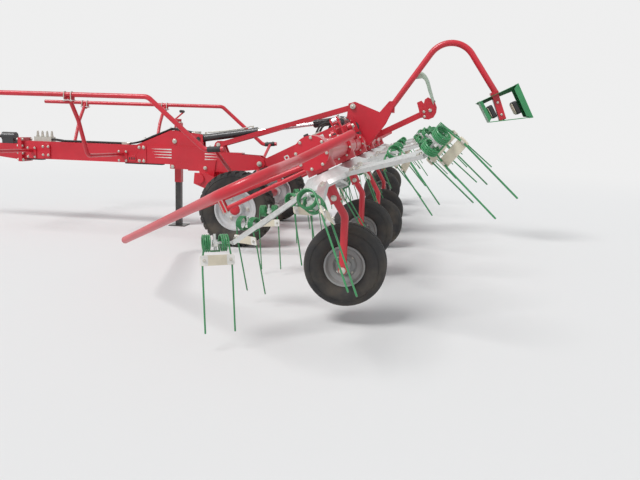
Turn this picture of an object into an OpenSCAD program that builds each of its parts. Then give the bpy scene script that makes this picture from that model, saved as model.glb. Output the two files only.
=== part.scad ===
// Trailed rotary hay tedder: six rotors in three folding sections, on a two-wheeled transport chassis.
// The machine travels towards -X, its left wing is at -Y, and the floor is at Z = 0.

/* [Chassis] */
// Height of the drawbar's box section
bar_h = 190; // [160:5:220]
// Width of the drawbar's box section
bar_w = 130; // [110:5:160]
// Wall of the drawbar's box section
bar_wall = 8; // [5:1:12]
// Height of the drawbar's underside above the floor
bar_z = 680; // [640:10:720]
// Distance from the transport axle forward to the bolted flange
flange_x = 2640; // [2400:20:2900]
// Distance from the transport axle forward to the front of the hitch eye
front_reach = 3850; // [3600:50:4100]
// Diameter of the hitch eye's hole
hitch_bore = 50; // [40:2:60]
// Thickness of the hitch eye
hitch_t = 32; // [24:2:40]
// Diameter of the axle beam
axle_d = 90; // [70:5:110]

/* [Transport wheels] */
// Diameter of the transport tyre
road_tyre_d = 700; // [660:10:740]
// Width of the transport tyre
road_tyre_w = 240; // [200:10:260]
// Diameter of the transport rim at its flange
road_rim_d = 440; // [400:10:470]
// Distance of the tyre's outer face from the centreline
road_face_y = 1000; // [960:10:1060]

/* [Guard rails] */
// Distance of each rail from the centreline
rail_y = 1150; // [1100:10:1200]
// Height of the rail's centre above the floor
rail_z = 1333; // [1280:10:1400]
// Diameter of the rail's tube
rail_d = 44; // [34:2:50]
// Distance between the two supports of a rail
rail_support_gap = 1050; // [900:10:1090]

/* [Jack] */
// Distance from the transport axle forward to the jack
jack_x = 930; // [860:10:1000]
// Width of the jack's square inner leg
jack_leg_w = 60; // [50:2:70]

/* [Lift] */
// Length of the lower lift arm between its pins
lift_arm_l = 956; // [900:4:1000]
// Rise of the lower lift arm above level at rest
lift_arm_rise = 16.8; // [14:0.1:20]
// Diameter of the lift's pins
lift_pin_d = 40; // [30:2:50]
// Diameter of the lift cylinder's barrel
lift_barrel_d = 76; // [60:2:90]

/* [Tedder frame] */
// Nose-down tilt of the tedder frame, in degrees
tilt = 27; // [20:1:28]
// Distance between neighbouring rotor axes
rotor_gap = 1300; // [1260:10:1400]
// Outer diameter of the gear beam's round tube
beam_d = 140; // [110:5:160]
// Diameter of the guard bow's tube
guard_d = 44; // [40:2:60]
// Height of the fold hinge above the beam's axis
fold_z = 130; // [115:5:150]

/* [Rotors] */
// Number of arms on a rotor
arm_count = 6; // [6:1:6]
// Distance of a tine pair from the rotor's axis
coil_reach = 685; // [660:5:700]
// Distance between the two coils of a pair
coil_gap = 86; // [80:2:96]
// Diameter of the tine's wire
wire_d = 9; // [8:0.5:11]
// Outer diameter of a coil
coil_d = 90; // [80:2:94]
// Length of a tine from its coil's axis
tine_l = 445; // [400:5:450]
// Outward lean of the tines, in degrees
tine_lean = 23; // [15:1:25]

/* [Tedder wheels] */
// Diameter of the tedder tyre
field_tyre_d = 470; // [440:5:490]
// Width of the tedder tyre
field_tyre_w = 190; // [160:5:200]
// Diameter of the tedder rim at its flange
field_rim_d = 262; // [240:2:280]
// Outer diameter of the leg's sleeve
sleeve_d = 64; // [56:2:68]
// Outer diameter of the leg's bent tube
leg_d = 42; // [36:2:46]

/* [Hidden] */

$fn = 48;
fit = 0.05;      // running clearance of a pin or shaft, on the radius
seat = 0.3;      // gap between a moving piece and what it seats on
step = 6;        // clearance between pieces that move past each other

paint = "crimson";
zinc = "lightgray";
black = "#202020";

// Places along the machine, measured from the transport axle
rear_reach = 2780;                              // rearmost edge of the light-panel frame
axle_x = (front_reach - rear_reach) / 2;        // the origin is midway between the two ends
road_r = road_tyre_d / 2;
field_r = field_tyre_d / 2;
bar_top = bar_z + bar_h;
bar_mid = bar_z + bar_h / 2;
arm_pin = [15, 724];                            // lower lift arm's front pin, as [x, z]
link_pin = [-426, 905];                         // upper link's front pin
frame_pin = [arm_pin[0] + lift_arm_l * cos(lift_arm_rise), arm_pin[1] + lift_arm_l * sin(lift_arm_rise)];
link_rear = frame_pin + [39.8, 337.7];          // upper link's rear pin, on the headstock
frame_at = frame_pin + [119.8, -20.3];          // gear beam's axis
lug_pin = [-654, 960];                          // lift cylinder's front pin
lug_rear = frame_pin + [-25.2, 207.7];          // lift cylinder's rear pin, on the headstock

// Tedder frame, in its own tilted axes: X rearward in the rotors' plane, Z along the rotor axes
hub_z = -112;                                   // underside of the gear housing
coil_z = -230;                                  // plane of the coils
arm_z = -170;                                   // plane of the arms at the hub
stub_d = 70;                                    // fixed stub that the rotor turns on
stub_end = -202;                                // lower end of the fixed stub
sleeve_end = -290;                              // lower end of the leg's sleeve
leg_bend = [10, -374];                          // bend of an outer leg, as [x, z]
leg_drop = 297;                                 // upright length of the bent tube
wheel_in = 160;                                 // wheel centre inboard of its leg
wing_in = rotor_gap;                            // fold hinge's distance from the centreline
// The legs of the centre section are let out until their wheels stand on the floor
centre_out = (frame_at[1] + leg_bend[0] * sin(tilt) + leg_bend[1] * cos(tilt) - leg_drop - field_r) / cos(tilt);
rotor_y = [for (i = [0:5]) (i - 2.5) * rotor_gap];
wheel_z = leg_bend[1] - leg_drop * cos(tilt);
wheel_x = leg_bend[0] - leg_drop * sin(tilt);
axle_pin_d = 30;                                // tedder wheel's stub axle

function rotor_phase(i) = i % 2 == 0 ? 30 : 0;
function is_centre(i) = i == 2 || i == 3;
function side(i) = i < 3 ? -1 : 1;
function leg_out(i) = is_centre(i) ? centre_out : 0;

function unit(v) = v / norm(v);
function turn_of(a, b) = acos(min(1, max(-1, a * b)));

// Puts a piece drawn from the transport axle at its place in the model
module on_chassis() translate([axle_x, 0, 0]) children();
// Puts a piece drawn in the tedder frame's tilted axes at its place in the model
module on_frame() on_chassis() translate([frame_at[0], 0, frame_at[1]]) rotate([0, -tilt, 0]) children();

// Round bar from point a to point b
module bar_between(a, b, r) {
    v = b - a;
    translate(a)
        rotate([0, acos(v[2] / norm(v)), atan2(v[1], v[0])])
            cylinder(h = norm(v), r = r);
}

// Tube bent round the inner points of a path with one bend radius. A bend is a little fuller than the
// straights, which end inside it.
bend_over = 0.4;
bend_lap = 4;
module bent_tube(path, r, bend) {
    last = len(path) - 1;
    // length that each bend takes off the straights beside it
    trim = [for (i = [0:last]) i == 0 || i == last ? 0
        : bend * tan(turn_of(unit(path[i] - path[i - 1]), unit(path[i + 1] - path[i])) / 2)];
    for (i = [0:last - 1]) {
        d = unit(path[i + 1] - path[i]);
        bar_between(path[i] + d * (i == 0 ? 0 : trim[i] - bend_lap),
                    path[i + 1] - d * (i + 1 == last ? 0 : trim[i + 1] - bend_lap), r);
    }
    for (i = [1:1:last - 1]) {
        din = unit(path[i] - path[i - 1]);
        dout = unit(path[i + 1] - path[i]);
        ex = -unit(dout - din * (din * dout));
        ez = cross(ex, din);
        c = path[i] - din * trim[i] - ex * bend;
        multmatrix([[ex[0], din[0], ez[0], c[0]], [ex[1], din[1], ez[1], c[1]], [ex[2], din[2], ez[2], c[2]]])
            rotate_extrude(angle = turn_of(din, dout)) translate([bend, 0]) circle(r = r + bend_over);
    }
}

// Plate cut from a side view (x, z outline), centred on y
module side_plate(points, y, t) translate([0, y + t / 2, 0]) rotate([90, 0, 0]) linear_extrude(t) polygon(points);

// Pin or bore across the machine
module cross_pin(at, y0, y1, r) translate([at[0], y0, at[1]]) rotate([-90, 0, 0]) cylinder(h = y1 - y0, r = r);

// Flat bar from a to b, in side view, with its thickness above the line
module flat_bar(a, b, t, w) {
    d = unit(b - a);
    n = t * [-d[1], d[0]];
    side_plate([a, b, b + n, a + n], 0, w);
}

module box_tube(l, w, h, wall) {
    difference() {
        cube([l, w, h]);
        translate([-1, wall, wall]) cube([l + 2, w - 2 * wall, h - 2 * wall]);
    }
}

// Chassis
cheek_t = 12;
cheek_y = bar_w / 2;
tail_x = 600;      // the drawbar's tube ends this far ahead of the axle
tail_top = 828;    // top of the plated tail behind it
tail_foot = 622;
cheek = [[-760, bar_top], [-640, bar_top], [-560, tail_top], [10, 806], [58, 776], [72, 728], [52, 684],
         [-20, 660], [-300, tail_foot], [-760, tail_foot]];
plate_t = 12;

module drawbar() color(paint) on_chassis() {
    difference() {
        union() {
            translate([-flange_x, -bar_w / 2, bar_z]) box_tube(flange_x - tail_x, bar_w, bar_h, bar_wall);
            translate([-flange_x - 20, -bar_w / 2 - 35, bar_z - 35]) cube([22, bar_w + 70, bar_h + 70]);
            for (s = [-1, 1]) side_plate(cheek, s * (cheek_y + cheek_t / 2 - 0.5), cheek_t + 1);
            // top and bottom plates of the tail
            translate([-tail_x - 40, -cheek_y - 1, tail_top - plate_t]) cube([460, 2 * cheek_y + 2, plate_t]);
            translate([-tail_x - 40, -cheek_y - 1, tail_foot]) cube([310, 2 * cheek_y + 2, plate_t]);
            // gusset that carries the lift cylinder
            for (s = [-1, 1])
                side_plate([[-1354, bar_top - 4], [-960, 1036], [-920, 1036], [-610, 1005], [-602, bar_top - 4]], s * 44, 12);
            // ears for the upper links' front pin
            for (s = [-1, 1])
                side_plate([[link_pin[0] - 84, tail_top - 4], link_pin + [-44, 20], link_pin + [-20, 40],
                            link_pin + [20, 40], link_pin + [44, 20], [link_pin[0] + 86, tail_top - 4]], s * 44, 12);
            // doubling plates at the bolted joint ahead of the gusset
            for (s = [-1, 1])
                side_plate([[-1330, bar_z + 4], [-1330, bar_top - 8], [-1316, bar_top + 2], [-1240, bar_top + 2],
                            [-1226, bar_top - 8], [-1226, bar_z + 4]], s * (cheek_y + 3), 8);
            // jack's lower plate, between the two pins below the tube
            for (s = [-1, 1])
                side_plate([[-960, bar_z - 46], [-960, bar_z + 20], [-760, bar_z + 20], [-760, bar_z - 46]],
                           s * (cheek_y + 2), 10);
        }
        cross_pin(arm_pin, -bar_w, bar_w, lift_pin_d / 2 + fit);
        cross_pin(lug_pin, -bar_w, bar_w, lift_pin_d / 2 + fit);
        cross_pin(link_pin, -bar_w, bar_w, lift_pin_d / 2 + fit);
    }
}

module hitch_eye() color(paint) on_chassis() {
    neck = 470;
    eye_r = hitch_bore / 2 + 38;
    eye_x = -front_reach + eye_r;
    difference() {
        union() {
            translate([-flange_x - 40, -bar_w / 2 - 35, bar_z - 35]) cube([20, bar_w + 70, bar_h + 70]);
            side_plate([[eye_x + 300, bar_mid - 30], [eye_x + 300, bar_mid + 30], [eye_x + 380, bar_mid + 60],
                        [-flange_x - 30, bar_mid + 60], [-flange_x - 30, bar_z - 20], [eye_x + 620, bar_mid - 60]],
                       0, 100);
            translate([eye_x, -32, bar_mid - hitch_t / 2]) cube([310, 64, hitch_t]);
            translate([eye_x, 0, bar_mid - hitch_t / 2]) cylinder(h = hitch_t, r = eye_r);
        }
        translate([eye_x, 0, bar_mid - hitch_t]) cylinder(h = 2 * hitch_t, d = hitch_bore);
    }
}

// Axle frame: hangers on the drawbar's cheeks, a cross tube, two trailing arms and the axle beam
cross_at = [-550, 560];
arm_at = 300;
module axle_frame() color(paint) on_chassis() {
    stub_y = road_face_y - 60;
    beam_y = stub_y - 190;     // inside the tyres' inner faces
    hanger_y = cheek_y + cheek_t + seat + 6;
    for (s = [-1, 1]) {
        side_plate([[-650, 740], [-450, 740], [-480, 530], [-620, 530]], s * hanger_y, 12);
        side_plate([[cross_at[0] - 70, cross_at[1] - 50], [cross_at[0] - 60, cross_at[1] + 60],
                    [cross_at[0] + 50, cross_at[1] + 60], [60, road_r + 64], [64, road_r - 50],
                    [-50, road_r - 56]], s * arm_at, 16);
        cross_pin([0, road_r], s < 0 ? -stub_y : beam_y - 4, s < 0 ? 4 - beam_y : stub_y, 30);
    }
    cross_pin(cross_at, -arm_at - 30, arm_at + 30, 45);
    cross_pin([0, road_r], -beam_y, beam_y, axle_d / 2);
}

// Guard rail on the left; the right one is its mirror image
module guard_rail() {
    bend_x = -750;
    foot_z = 800;
    support_x = [-1490, -1490 - rail_support_gap];
    path = [[-3080, -rail_y, rail_z], [bend_x, -rail_y, rail_z], [-230, -rail_y, 890], [-60, -rail_y, 905]];
    bent_tube(path, rail_d / 2, 90);
    for (x = support_x) {
        bent_tube([[x, -cheek_y - 4, bar_mid - 8], [x, -rail_y + 320, bar_mid + 4], [x, -rail_y + 160, rail_z - 223],
                   [x, -rail_y, rail_z - rail_d / 2 + 4]], 19, 80);
        side_plate([[x - 55, bar_z + 4], [x - 55, bar_z + 120], [x - 40, bar_z + 134], [x + 40, bar_z + 134],
                    [x + 55, bar_z + 120], [x + 55, bar_z + 4]], -cheek_y - 5, 10);
        // clamp plate under the rail
        side_plate([[x - 48, rail_z - 52], [x - 48, rail_z - 16], [x + 48, rail_z - 16], [x + 48, rail_z - 52],
                    [x + 26, rail_z - 76], [x - 26, rail_z - 76]], -rail_y + 14, 10);
    }
    // strut from the low end of the rail to the axle frame
    foot_y = -arm_at - 8 - seat;
    bent_tube([[-140, -rail_y, 898], [-140, -560, 640], [-140, foot_y - 10, 470]], 17, 80);
    translate([-175, foot_y - 16, 435]) cube([70, 16, 70]);
}
module guard_rail_left() color(paint) on_chassis() guard_rail();
module guard_rail_right() color(paint) on_chassis() mirror([0, 1, 0]) guard_rail();

module hydraulic_fittings() color(zinc) on_chassis() {
    translate([-2520, -45, bar_top]) cube([200, 90, 50]);
    for (x = [-2500:55:-2330]) translate([x, 0, bar_top + 50]) cylinder(h = 30, d = 26);
    translate([-1520, -30, bar_top]) cube([80, 60, 24]);
}

module hydraulic_hoses() color(black) on_chassis() {
    for (y = [-30, 0, 30])
        bent_tube([[-2319, y, bar_top + 25], [-2200, y, bar_top + 12], [-1521, y, bar_top + 12]], 10, 60);
}

input_x = -3010;     // front of the drive input
input_d = 34.9;
input_rise = 75;     // its height above the front section
joint_r = 26;        // ball that stands for a universal joint's cross
yoke_y = joint_r + seat + 5;
// Ear of a yoke from x0 to its eye at x1
module yoke_ear(x0, x1) {
    translate([x0, -5, -20]) cube([x1 - x0, 10, 40]);
    translate([x1, 5, 0]) rotate([90, 0, 0]) cylinder(h = 10, r = 20);
}
module drive_shaft() color(black) on_chassis() {
    // input: bearing block on the drawbar's front section, with the splined shaft's plain outside
    z = bar_mid + 60 + input_rise;
    translate([input_x, 0, z]) rotate([0, 90, 0]) cylinder(h = 105, d = input_d);
    translate([input_x + 100, 0, z]) rotate([0, 90, 0]) cylinder(h = 150, r = 48);
    translate([input_x + 110, -45, bar_mid + 60 + seat]) cube([130, 90, input_rise]);
    // output: shaft between the cheeks, up to the joint on the lift's axis
    yoke_x = arm_pin[0] - 46;
    translate([-tail_x + 60, 0, arm_pin[1]]) rotate([0, 90, 0]) cylinder(h = tail_x - 60 + yoke_x, r = 22);
    translate([yoke_x - 12, -36, arm_pin[1] - 20]) cube([12, 72, 40]);
    for (s = [-1, 1]) translate([0, s * yoke_y, arm_pin[1]]) yoke_ear(yoke_x - 12, arm_pin[0]);
    translate([-tail_x + 120, -40, tail_foot + plate_t + seat]) cube([60, 80, arm_pin[1] - tail_foot - plate_t]);
}

module jack_sleeve() color(paint) on_chassis() translate([-jack_x, bar_w / 2 + 50, 0]) {
    w = jack_leg_w + 2 * (seat + 5);
    difference() {
        translate([-w / 2, -w / 2, 480]) cube([w, w, 640]);
        translate([-w / 2 + 5, -w / 2 + 5, 470]) cube([w - 10, w - 10, 640]);
    }
    translate([-60, seat - 50, bar_z + 20]) cube([120, 51 - w / 2 - seat, 120]);
    translate([0, 0, 1120]) cylinder(h = 40, r = 30);
    bent_tube([[0, 0, 1140], [0, -150, 1140], [115, -150, 1236], [115, -260, 1236]], 8, 24);
}

module jack_leg() color(zinc) on_chassis() translate([-jack_x, bar_w / 2 + 50, 0]) {
    translate([-jack_leg_w / 2, -jack_leg_w / 2, 10]) cube([jack_leg_w, jack_leg_w, 650]);
    translate([-90, -90, 0]) cube([180, 180, 10]);
}

// Transport wheel about the Y axis, outer face towards -Y
module road_tyre_shape() {
    r = road_r;
    b = road_rim_d / 2;
    h = road_tyre_w / 2;
    rotate([90, 0, 0]) rotate_extrude($fn = 96) polygon([
        [b - 24, -h + 36], [b, -h + 12], [b + 50, -h], [r - 46, -h + 4], [r - 12, -h + 26], [r, -h + 56],
        [r, h - 56], [r - 12, h - 26], [r - 46, h - 4], [b + 50, h], [b, h - 12], [b - 24, h - 36]]);
}
module road_rim_shape() {
    b = road_rim_d / 2 - 24;
    h = road_tyre_w / 2;
    rotate([90, 0, 0]) rotate_extrude($fn = 96) polygon([
        [b - seat, -h + 30], [b - seat, h - 30], [b - 14, h - 30], [b - 26, h - 60], [150, h - 66], [128, h - 96],
        [78, h - 96], [70, h - 60], [62, h - 24], [30 + fit, h - 24], [30 + fit, h - 170], [60, h - 170],
        [64, h - 110], [120, h - 108], [144, h - 80], [b - 34, h - 78], [b - 12, -h + 30]]);
}
module road_place(s) on_chassis() translate([0, s * (road_face_y - road_tyre_w / 2), road_r])
    mirror([0, s < 0 ? 0 : 1, 0]) children();
module transport_tyre_left() color(black) road_place(-1) road_tyre_shape();
module transport_tyre_right() color(black) road_place(1) road_tyre_shape();
module transport_rim_left() color(zinc) road_place(-1) road_rim_shape();
module transport_rim_right() color(zinc) road_place(1) road_rim_shape();

// Lift
module lift_arm() color(paint) on_chassis() {
    arm_y = cheek_y - step - 8;
    translate([arm_pin[0], 0, arm_pin[1]]) rotate([0, -lift_arm_rise, 0]) {
        for (s = [-1, 1]) difference() {
            union() {
                translate([0, s * arm_y - 7, -40]) cube([lift_arm_l, 14, 80]);
                for (x = [0, lift_arm_l])
                    translate([x, s * arm_y + 7, 0]) rotate([90, 0, 0]) cylinder(h = 14, r = 40);
            }
            translate([lift_arm_l, s * arm_y + 8, 0]) rotate([90, 0, 0]) cylinder(h = 16, d = lift_pin_d + 2 * fit);
        }
        translate([330, -arm_y, 26]) cube([360, 2 * arm_y, 12]);
        // the front pins are stubs, so that the drive's joint has room between them
        for (s = [-1, 1]) translate([0, s < 0 ? -arm_y : cheek_y + cheek_t + 20, 0]) rotate([90, 0, 0])
            cylinder(h = cheek_y + cheek_t + 20 - arm_y, d = lift_pin_d);
    }
}

link_l = norm(link_rear - link_pin);
link_rise = atan2(link_rear[1] - link_pin[1], link_rear[0] - link_pin[0]);
module upper_link() color(paint) on_chassis() translate([link_pin[0], 0, link_pin[1]]) rotate([0, -link_rise, 0]) {
    for (s = [-1, 1]) difference() {
        union() {
            translate([0, s * 76 - 8, -24]) cube([link_l, 16, 48]);
            for (x = [0, link_l]) translate([x, s * 76 + 8, 0]) rotate([90, 0, 0]) cylinder(h = 16, r = 36);
        }
        translate([link_l, s * 76 + 9, 0]) rotate([90, 0, 0]) cylinder(h = 18, d = lift_pin_d + 16);
    }
    translate([0, 90, 0]) rotate([90, 0, 0]) cylinder(h = 180, d = lift_pin_d);
}

cyl_l = norm(lug_rear - lug_pin);
cyl_rise = atan2(lug_rear[1] - lug_pin[1], lug_rear[0] - lug_pin[0]);
barrel_l = 640;
rear_barrel_l = 345;
rod_d = 40;
module on_cylinder() on_chassis() translate([lug_pin[0], 0, lug_pin[1]]) rotate([0, -cyl_rise, 0]) children();
module lift_cylinder_barrel() color(black) on_cylinder() {
    difference() {
        union() {
            translate([28, 0, 0]) rotate([0, 90, 0]) cylinder(h = barrel_l - 28, d = lift_barrel_d);
            rotate([90, 0, 0]) translate([0, 0, -34]) cylinder(h = 68, r = 34);
        }
        translate([120, 0, 0]) rotate([0, 90, 0]) cylinder(h = barrel_l, d = rod_d + 2 * fit);
    }
    rotate([90, 0, 0]) translate([0, 0, -60]) cylinder(h = 120, d = lift_pin_d);
}
module lift_cylinder_rod() color(zinc) on_cylinder() {
    translate([520, 0, 0]) rotate([0, 90, 0]) cylinder(h = cyl_l - 520 - rear_barrel_l + 5, d = rod_d);
    difference() {
        union() {
            translate([cyl_l - rear_barrel_l, 0, 0]) rotate([0, 90, 0]) cylinder(h = rear_barrel_l - 34, d = lift_barrel_d);
            translate([cyl_l, 0, 0]) rotate([90, 0, 0]) translate([0, 0, -30]) cylinder(h = 60, r = 38);
        }
        translate([cyl_l, 0, 0]) rotate([90, 0, 0]) translate([0, 0, -40]) cylinder(h = 80, d = lift_pin_d + 16);
    }
}

// Telescopic shaft from the drawbar's shaft to the centre gear housing
shaft_from = arm_pin;
shaft_to = frame_at + [-158, -80];
shaft_l = norm(shaft_to - shaft_from);
shaft_rise = atan2(shaft_to[1] - shaft_from[1], shaft_to[0] - shaft_from[0]);
module on_shaft() on_chassis() translate([shaft_from[0], 0, shaft_from[1]]) rotate([0, 90 - shaft_rise, 0]) children();
shaft_d = 72;
module cardan_front() color(black) on_shaft() {
    difference() {
        union() {
            translate([0, 0, 50]) cylinder(h = 450, d = shaft_d);
            translate([0, 0, 20]) cylinder(h = 60, d1 = 50, d2 = shaft_d);
            sphere(r = joint_r);
            cylinder(h = 60, r = 20);
        }
        translate([0, 0, 130]) cylinder(h = 500, d = shaft_d - 12);
    }
}
module cardan_rear() color(black) on_shaft() {
    translate([0, 0, 300]) cylinder(h = shaft_l - 300 - 60, d = shaft_d - 12 - 2 * fit);
    translate([0, 0, shaft_l - 110]) cylinder(h = 60, d1 = shaft_d, d2 = 90);
    translate([0, 0, shaft_l - 100]) cylinder(h = 100, r = 20);
    translate([0, 0, shaft_l]) sphere(r = joint_r);
}

// Gear housing with the fixed stub that a rotor turns on
module gear_housing(y) translate([0, y, 0]) {
    difference() {
        union() {
            rotate([90, 0, 0]) translate([0, 0, -95]) cylinder(h = 190, r = 92);
            translate([0, 0, hub_z + 2]) cylinder(h = 60, r = 80);
            translate([0, 0, stub_end]) cylinder(h = -stub_end, d = stub_d);
        }
    }
}

beam_end = wing_in - 12;
rail_w = 60;
rail_h = 190;
rail_pos = 300;
box_w = 60;
box_from = -915;
box_top = 250;
fold_pin_z = 215;    // height of the fold cylinders above the beam's axis
fold_pin_r = 12;
fold_from = 420;     // distance of their pins from the centreline
fold_to = wing_in + 200;   // and of the pins on the wings
input_face = 177;     // distance of the drive input's joint ahead of the beam's axis
rear_arm_l = 720;     // reach of the rear arm behind the beam's axis
module centre_frame() color(paint) on_frame() {
    rotate([90, 0, 0]) translate([0, 0, -beam_end + 20]) cylinder(h = 2 * beam_end - 40, d = beam_d);
    for (i = [2, 3]) gear_housing(rotor_y[i]);
    // side boxes that carry the blank label places
    for (s = [-1, 1]) {
        translate([box_from, s * rail_pos - box_w / 2, box_top - rail_h]) cube([-box_from + 60, box_w, rail_h]);
    }
    // hinge ears and pins
    for (s = [-1, 1]) {
        for (x = [-90, 60]) translate([x, 0, 0]) {
            translate([0, s * wing_in, fold_z]) rotate([0, 90, 0]) cylinder(h = 30, r = 36);
            translate([0, s * wing_in - (s > 0 ? 90 : 0), fold_z - 36]) cube([30, 90, 60]);
            translate([0, s * (wing_in - 90) - 25, 20]) cube([30, 50, fold_z - 20]);
        }
        translate([-95, s * wing_in, fold_z]) rotate([0, 90, 0]) cylinder(h = 190, r = 15);
        // lug of the fold cylinder
        for (x = [-34, 22]) translate([x, s * fold_from - 30, 40]) cube([12, 60, fold_pin_z - 15]);
        translate([-40, s * fold_from, fold_pin_z]) rotate([0, 90, 0]) cylinder(h = 80, r = fold_pin_r);
    }
    // drive input housing on the front of the beam
    translate([-136, 0, 0]) rotate([0, 90, 0]) cylinder(h = 136, r = 36);
    for (s = [-1, 1]) translate([0, s * yoke_y, 0]) mirror([1, 0, 0]) yoke_ear(130, input_face);
    // arm rearward on the far side, with its clevis
    translate([50, rail_pos - 30, -30]) cube([rear_arm_l - 50, 60, 60]);
    for (s = [-1, 1])
        side_plate([[rear_arm_l - 60, -30], [rear_arm_l - 40, 60], [rear_arm_l - 30, 130], [rear_arm_l + 20, 130],
                    [rear_arm_l + 40, 60], [rear_arm_l + 20, -50]], rail_pos + s * 34, 12);
    headstock();
}
// Headstock plates, drawn upright from the transport axle and turned back into the frame's axes
module headstock() rotate([0, tilt, 0]) translate([-frame_at[0], 0, -frame_at[1]]) {
    for (s = [-1, 1]) difference() {
        side_plate([frame_pin + [-60, -50], frame_pin + [-55, 100], link_rear + [-60, -138], link_rear + [-45, 27],
                    link_rear + [20, 47], frame_at + [190, 310], frame_at + [280, 420], frame_at + [350, 420],
                    frame_at + [250, 200], frame_at + [100, -20]], s * 104, 16);
        cross_pin(frame_pin, -130, 130, lift_pin_d / 2 + fit);
        cross_pin(link_rear, -130, 130, lift_pin_d / 2 + fit);
    }
    cross_pin(frame_pin, -125, 125, lift_pin_d / 2);
    cross_pin(link_rear, -125, 125, lift_pin_d / 2);
    cross_pin(lug_rear, -110, 110, lift_pin_d / 2);
}

module wing_frame() {
    // left wing; the right one is its mirror image
    y0 = -beam_end - 24;
    y1 = rotor_y[0] - 60;
    rotate([90, 0, 0]) translate([0, 0, -y0 + 20]) cylinder(h = y0 - y1 - 20, d = beam_d);
    for (i = [0, 1]) gear_housing(rotor_y[i]);
    difference() {
        union() {
            translate([-54, -wing_in, fold_z]) rotate([0, 90, 0]) cylinder(h = 108, r = 36);
            translate([-54, -wing_in - 110, fold_z - 36]) cube([108, 110, 60]);
            translate([-54, -wing_in - 130, 20]) cube([108, 50, fold_z - 20]);
        }
        translate([-60, -wing_in, fold_z]) rotate([0, 90, 0]) cylinder(h = 120, r = 15 + fit);
    }
    for (x = [-34, 22]) translate([x, -fold_to - 30, 40]) cube([12, 60, fold_pin_z - 15]);
    // heads of the fold pin, whose middle is drawn with the rod
    for (x = [-40, 30]) translate([x, -fold_to, fold_pin_z]) rotate([0, 90, 0]) cylinder(h = 10, r = fold_pin_r);
}
module wing_frame_left() color(paint) on_frame() wing_frame();
module wing_frame_right() color(paint) on_frame() mirror([0, 1, 0]) wing_frame();

hoop_foot = frame_at + [285, 344];      // hoop's lower end, between the headstock plates
bar_head = [2352, 1524];                // bar at the hoop's rear end, from its head
bar_foot = [2454, 1288];                // to its foot
module rear_hoop() color(paint) on_chassis() {
    path = [[hoop_foot[0], 0, hoop_foot[1]], [1912, 0, 2165], [2366, 0, 1513]];
    bent_tube(path, 30, 243);
    translate([hoop_foot[0] - 10, -96 + seat, hoop_foot[1] - 34]) cube([60, 192 - 2 * seat, 60]);
    flat_bar(bar_head, bar_foot, 18, 70);
}
// Open frame of flat bars that hangs on the hoop's bar, and the curved strap above the rear arm's clevis
module panel_frame() color("mediumseagreen") on_chassis() {
    low = [[2318, 1222], [2728, 1284]];
    t = 8;
    flat_bar([2202, 1420], low[0], t, 200);
    flat_bar(low[0], low[1], t, 200);
    flat_bar(low[1], [2560, 1604], t, 200);
    d = unit(bar_foot - bar_head);
    n = (seat + t) * [d[1], -d[0]];
    flat_bar(bar_head + 90 * d + n, bar_head + 300 * d + n, t, 80);
    translate([0, rail_pos, 0])
        bent_tube([[1795, 0, 1425], [1770, 0, 1560], [1690, 0, 1668], [1578, 0, 1712]], 8, 90);
}

tine_tip_r = coil_reach + (coil_gap - 19) * cos(tine_lean) + tine_l * sin(tine_lean) + 12;
bow_in_y = -wing_in - 100;      // inner run of the guard bow
bow_corner = 199;               // what the outer bend takes off the bow's reach
module guard_bow() {
    corner_y = rotor_y[0] - tine_tip_r - guard_d / 2 - 8 - bow_corner;
    heel = [236, rotor_y[0] - 120, 0];
    outer_bend = [-20, rotor_y[0] - 450, -15];
    // the bow, its stay and its support arm are seated on the beam
    difference() {
        union() {
            bent_tube([heel, outer_bend, [-80, corner_y, -30], [-1352, rotor_y[0] + 315, 22],
                       [-1690, bow_in_y, 75], [0, bow_in_y, -30]], guard_d / 2, 150);
            bar_between(heel + 22 * unit(outer_bend - heel), [0, rotor_y[0] + 330, 0], guard_d / 2 - 5);
            bar_between([-1172, bow_in_y, -50], [-20, bow_in_y, -44], 19);
            translate([-1192, bow_in_y - 26, -76]) cube([50, 52, 112]);
            translate([-650, bow_in_y - 14, -60]) cube([34, 28, 60]);
        }
        translate([0, -wing_in, 0]) rotate([90, 0, 0]) cylinder(h = 70 - rotor_y[0] - wing_in, r = beam_d / 2 + seat);
    }
}
module guard_bow_left() color(paint) on_frame() guard_bow();
module guard_bow_right() color(paint) on_frame() mirror([0, 1, 0]) guard_bow();

// Leg of rotor i: sleeve on the fixed stub, bent tube and stub axle
module wheel_leg(i) translate([0, rotor_y[i], 0]) {
    out = leg_out(i);
    translate([0, 0, sleeve_end]) cylinder(h = stub_end - seat - sleeve_end, d = sleeve_d);
    bent_tube([[0, 0, sleeve_end + 20], [leg_bend[0], 0, leg_bend[1] - out],
               [wheel_x, 0, wheel_z - out]], leg_d / 2, 60);
    bar_between([wheel_x, 0, wheel_z - out], [wheel_x, -side(i) * (wheel_in + 60), wheel_z - out], axle_pin_d / 2);
    translate([wheel_x, 0, wheel_z - out]) sphere(r = leg_d / 2 + 4);
}
module wheel_legs_centre() color(paint) on_frame() for (i = [2, 3]) wheel_leg(i);
module wheel_legs_left() color(paint) on_frame() for (i = [0, 1]) wheel_leg(i);
module wheel_legs_right() color(paint) on_frame() for (i = [4, 5]) wheel_leg(i);

// Fold cylinder of the left wing, along -Y
fold_barrel_l = 640;
fold_rod_r = 16;
module fold_barrel() translate([0, -fold_from, fold_pin_z]) {
    difference() {
        union() {
            translate([0, -48, 0]) rotate([90, 0, 0]) cylinder(h = fold_barrel_l - 48, d = 60);
            rotate([90, 0, 0]) cylinder(h = 60, r = 18);
            rotate([0, 90, 0]) translate([0, 0, -20]) cylinder(h = 40, r = 30);
        }
        rotate([0, 90, 0]) translate([0, 0, -30]) cylinder(h = 60, r = fold_pin_r + fit);
        translate([0, -80, 0]) rotate([90, 0, 0]) cylinder(h = fold_barrel_l, r = fold_rod_r + fit);
    }
}
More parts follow.
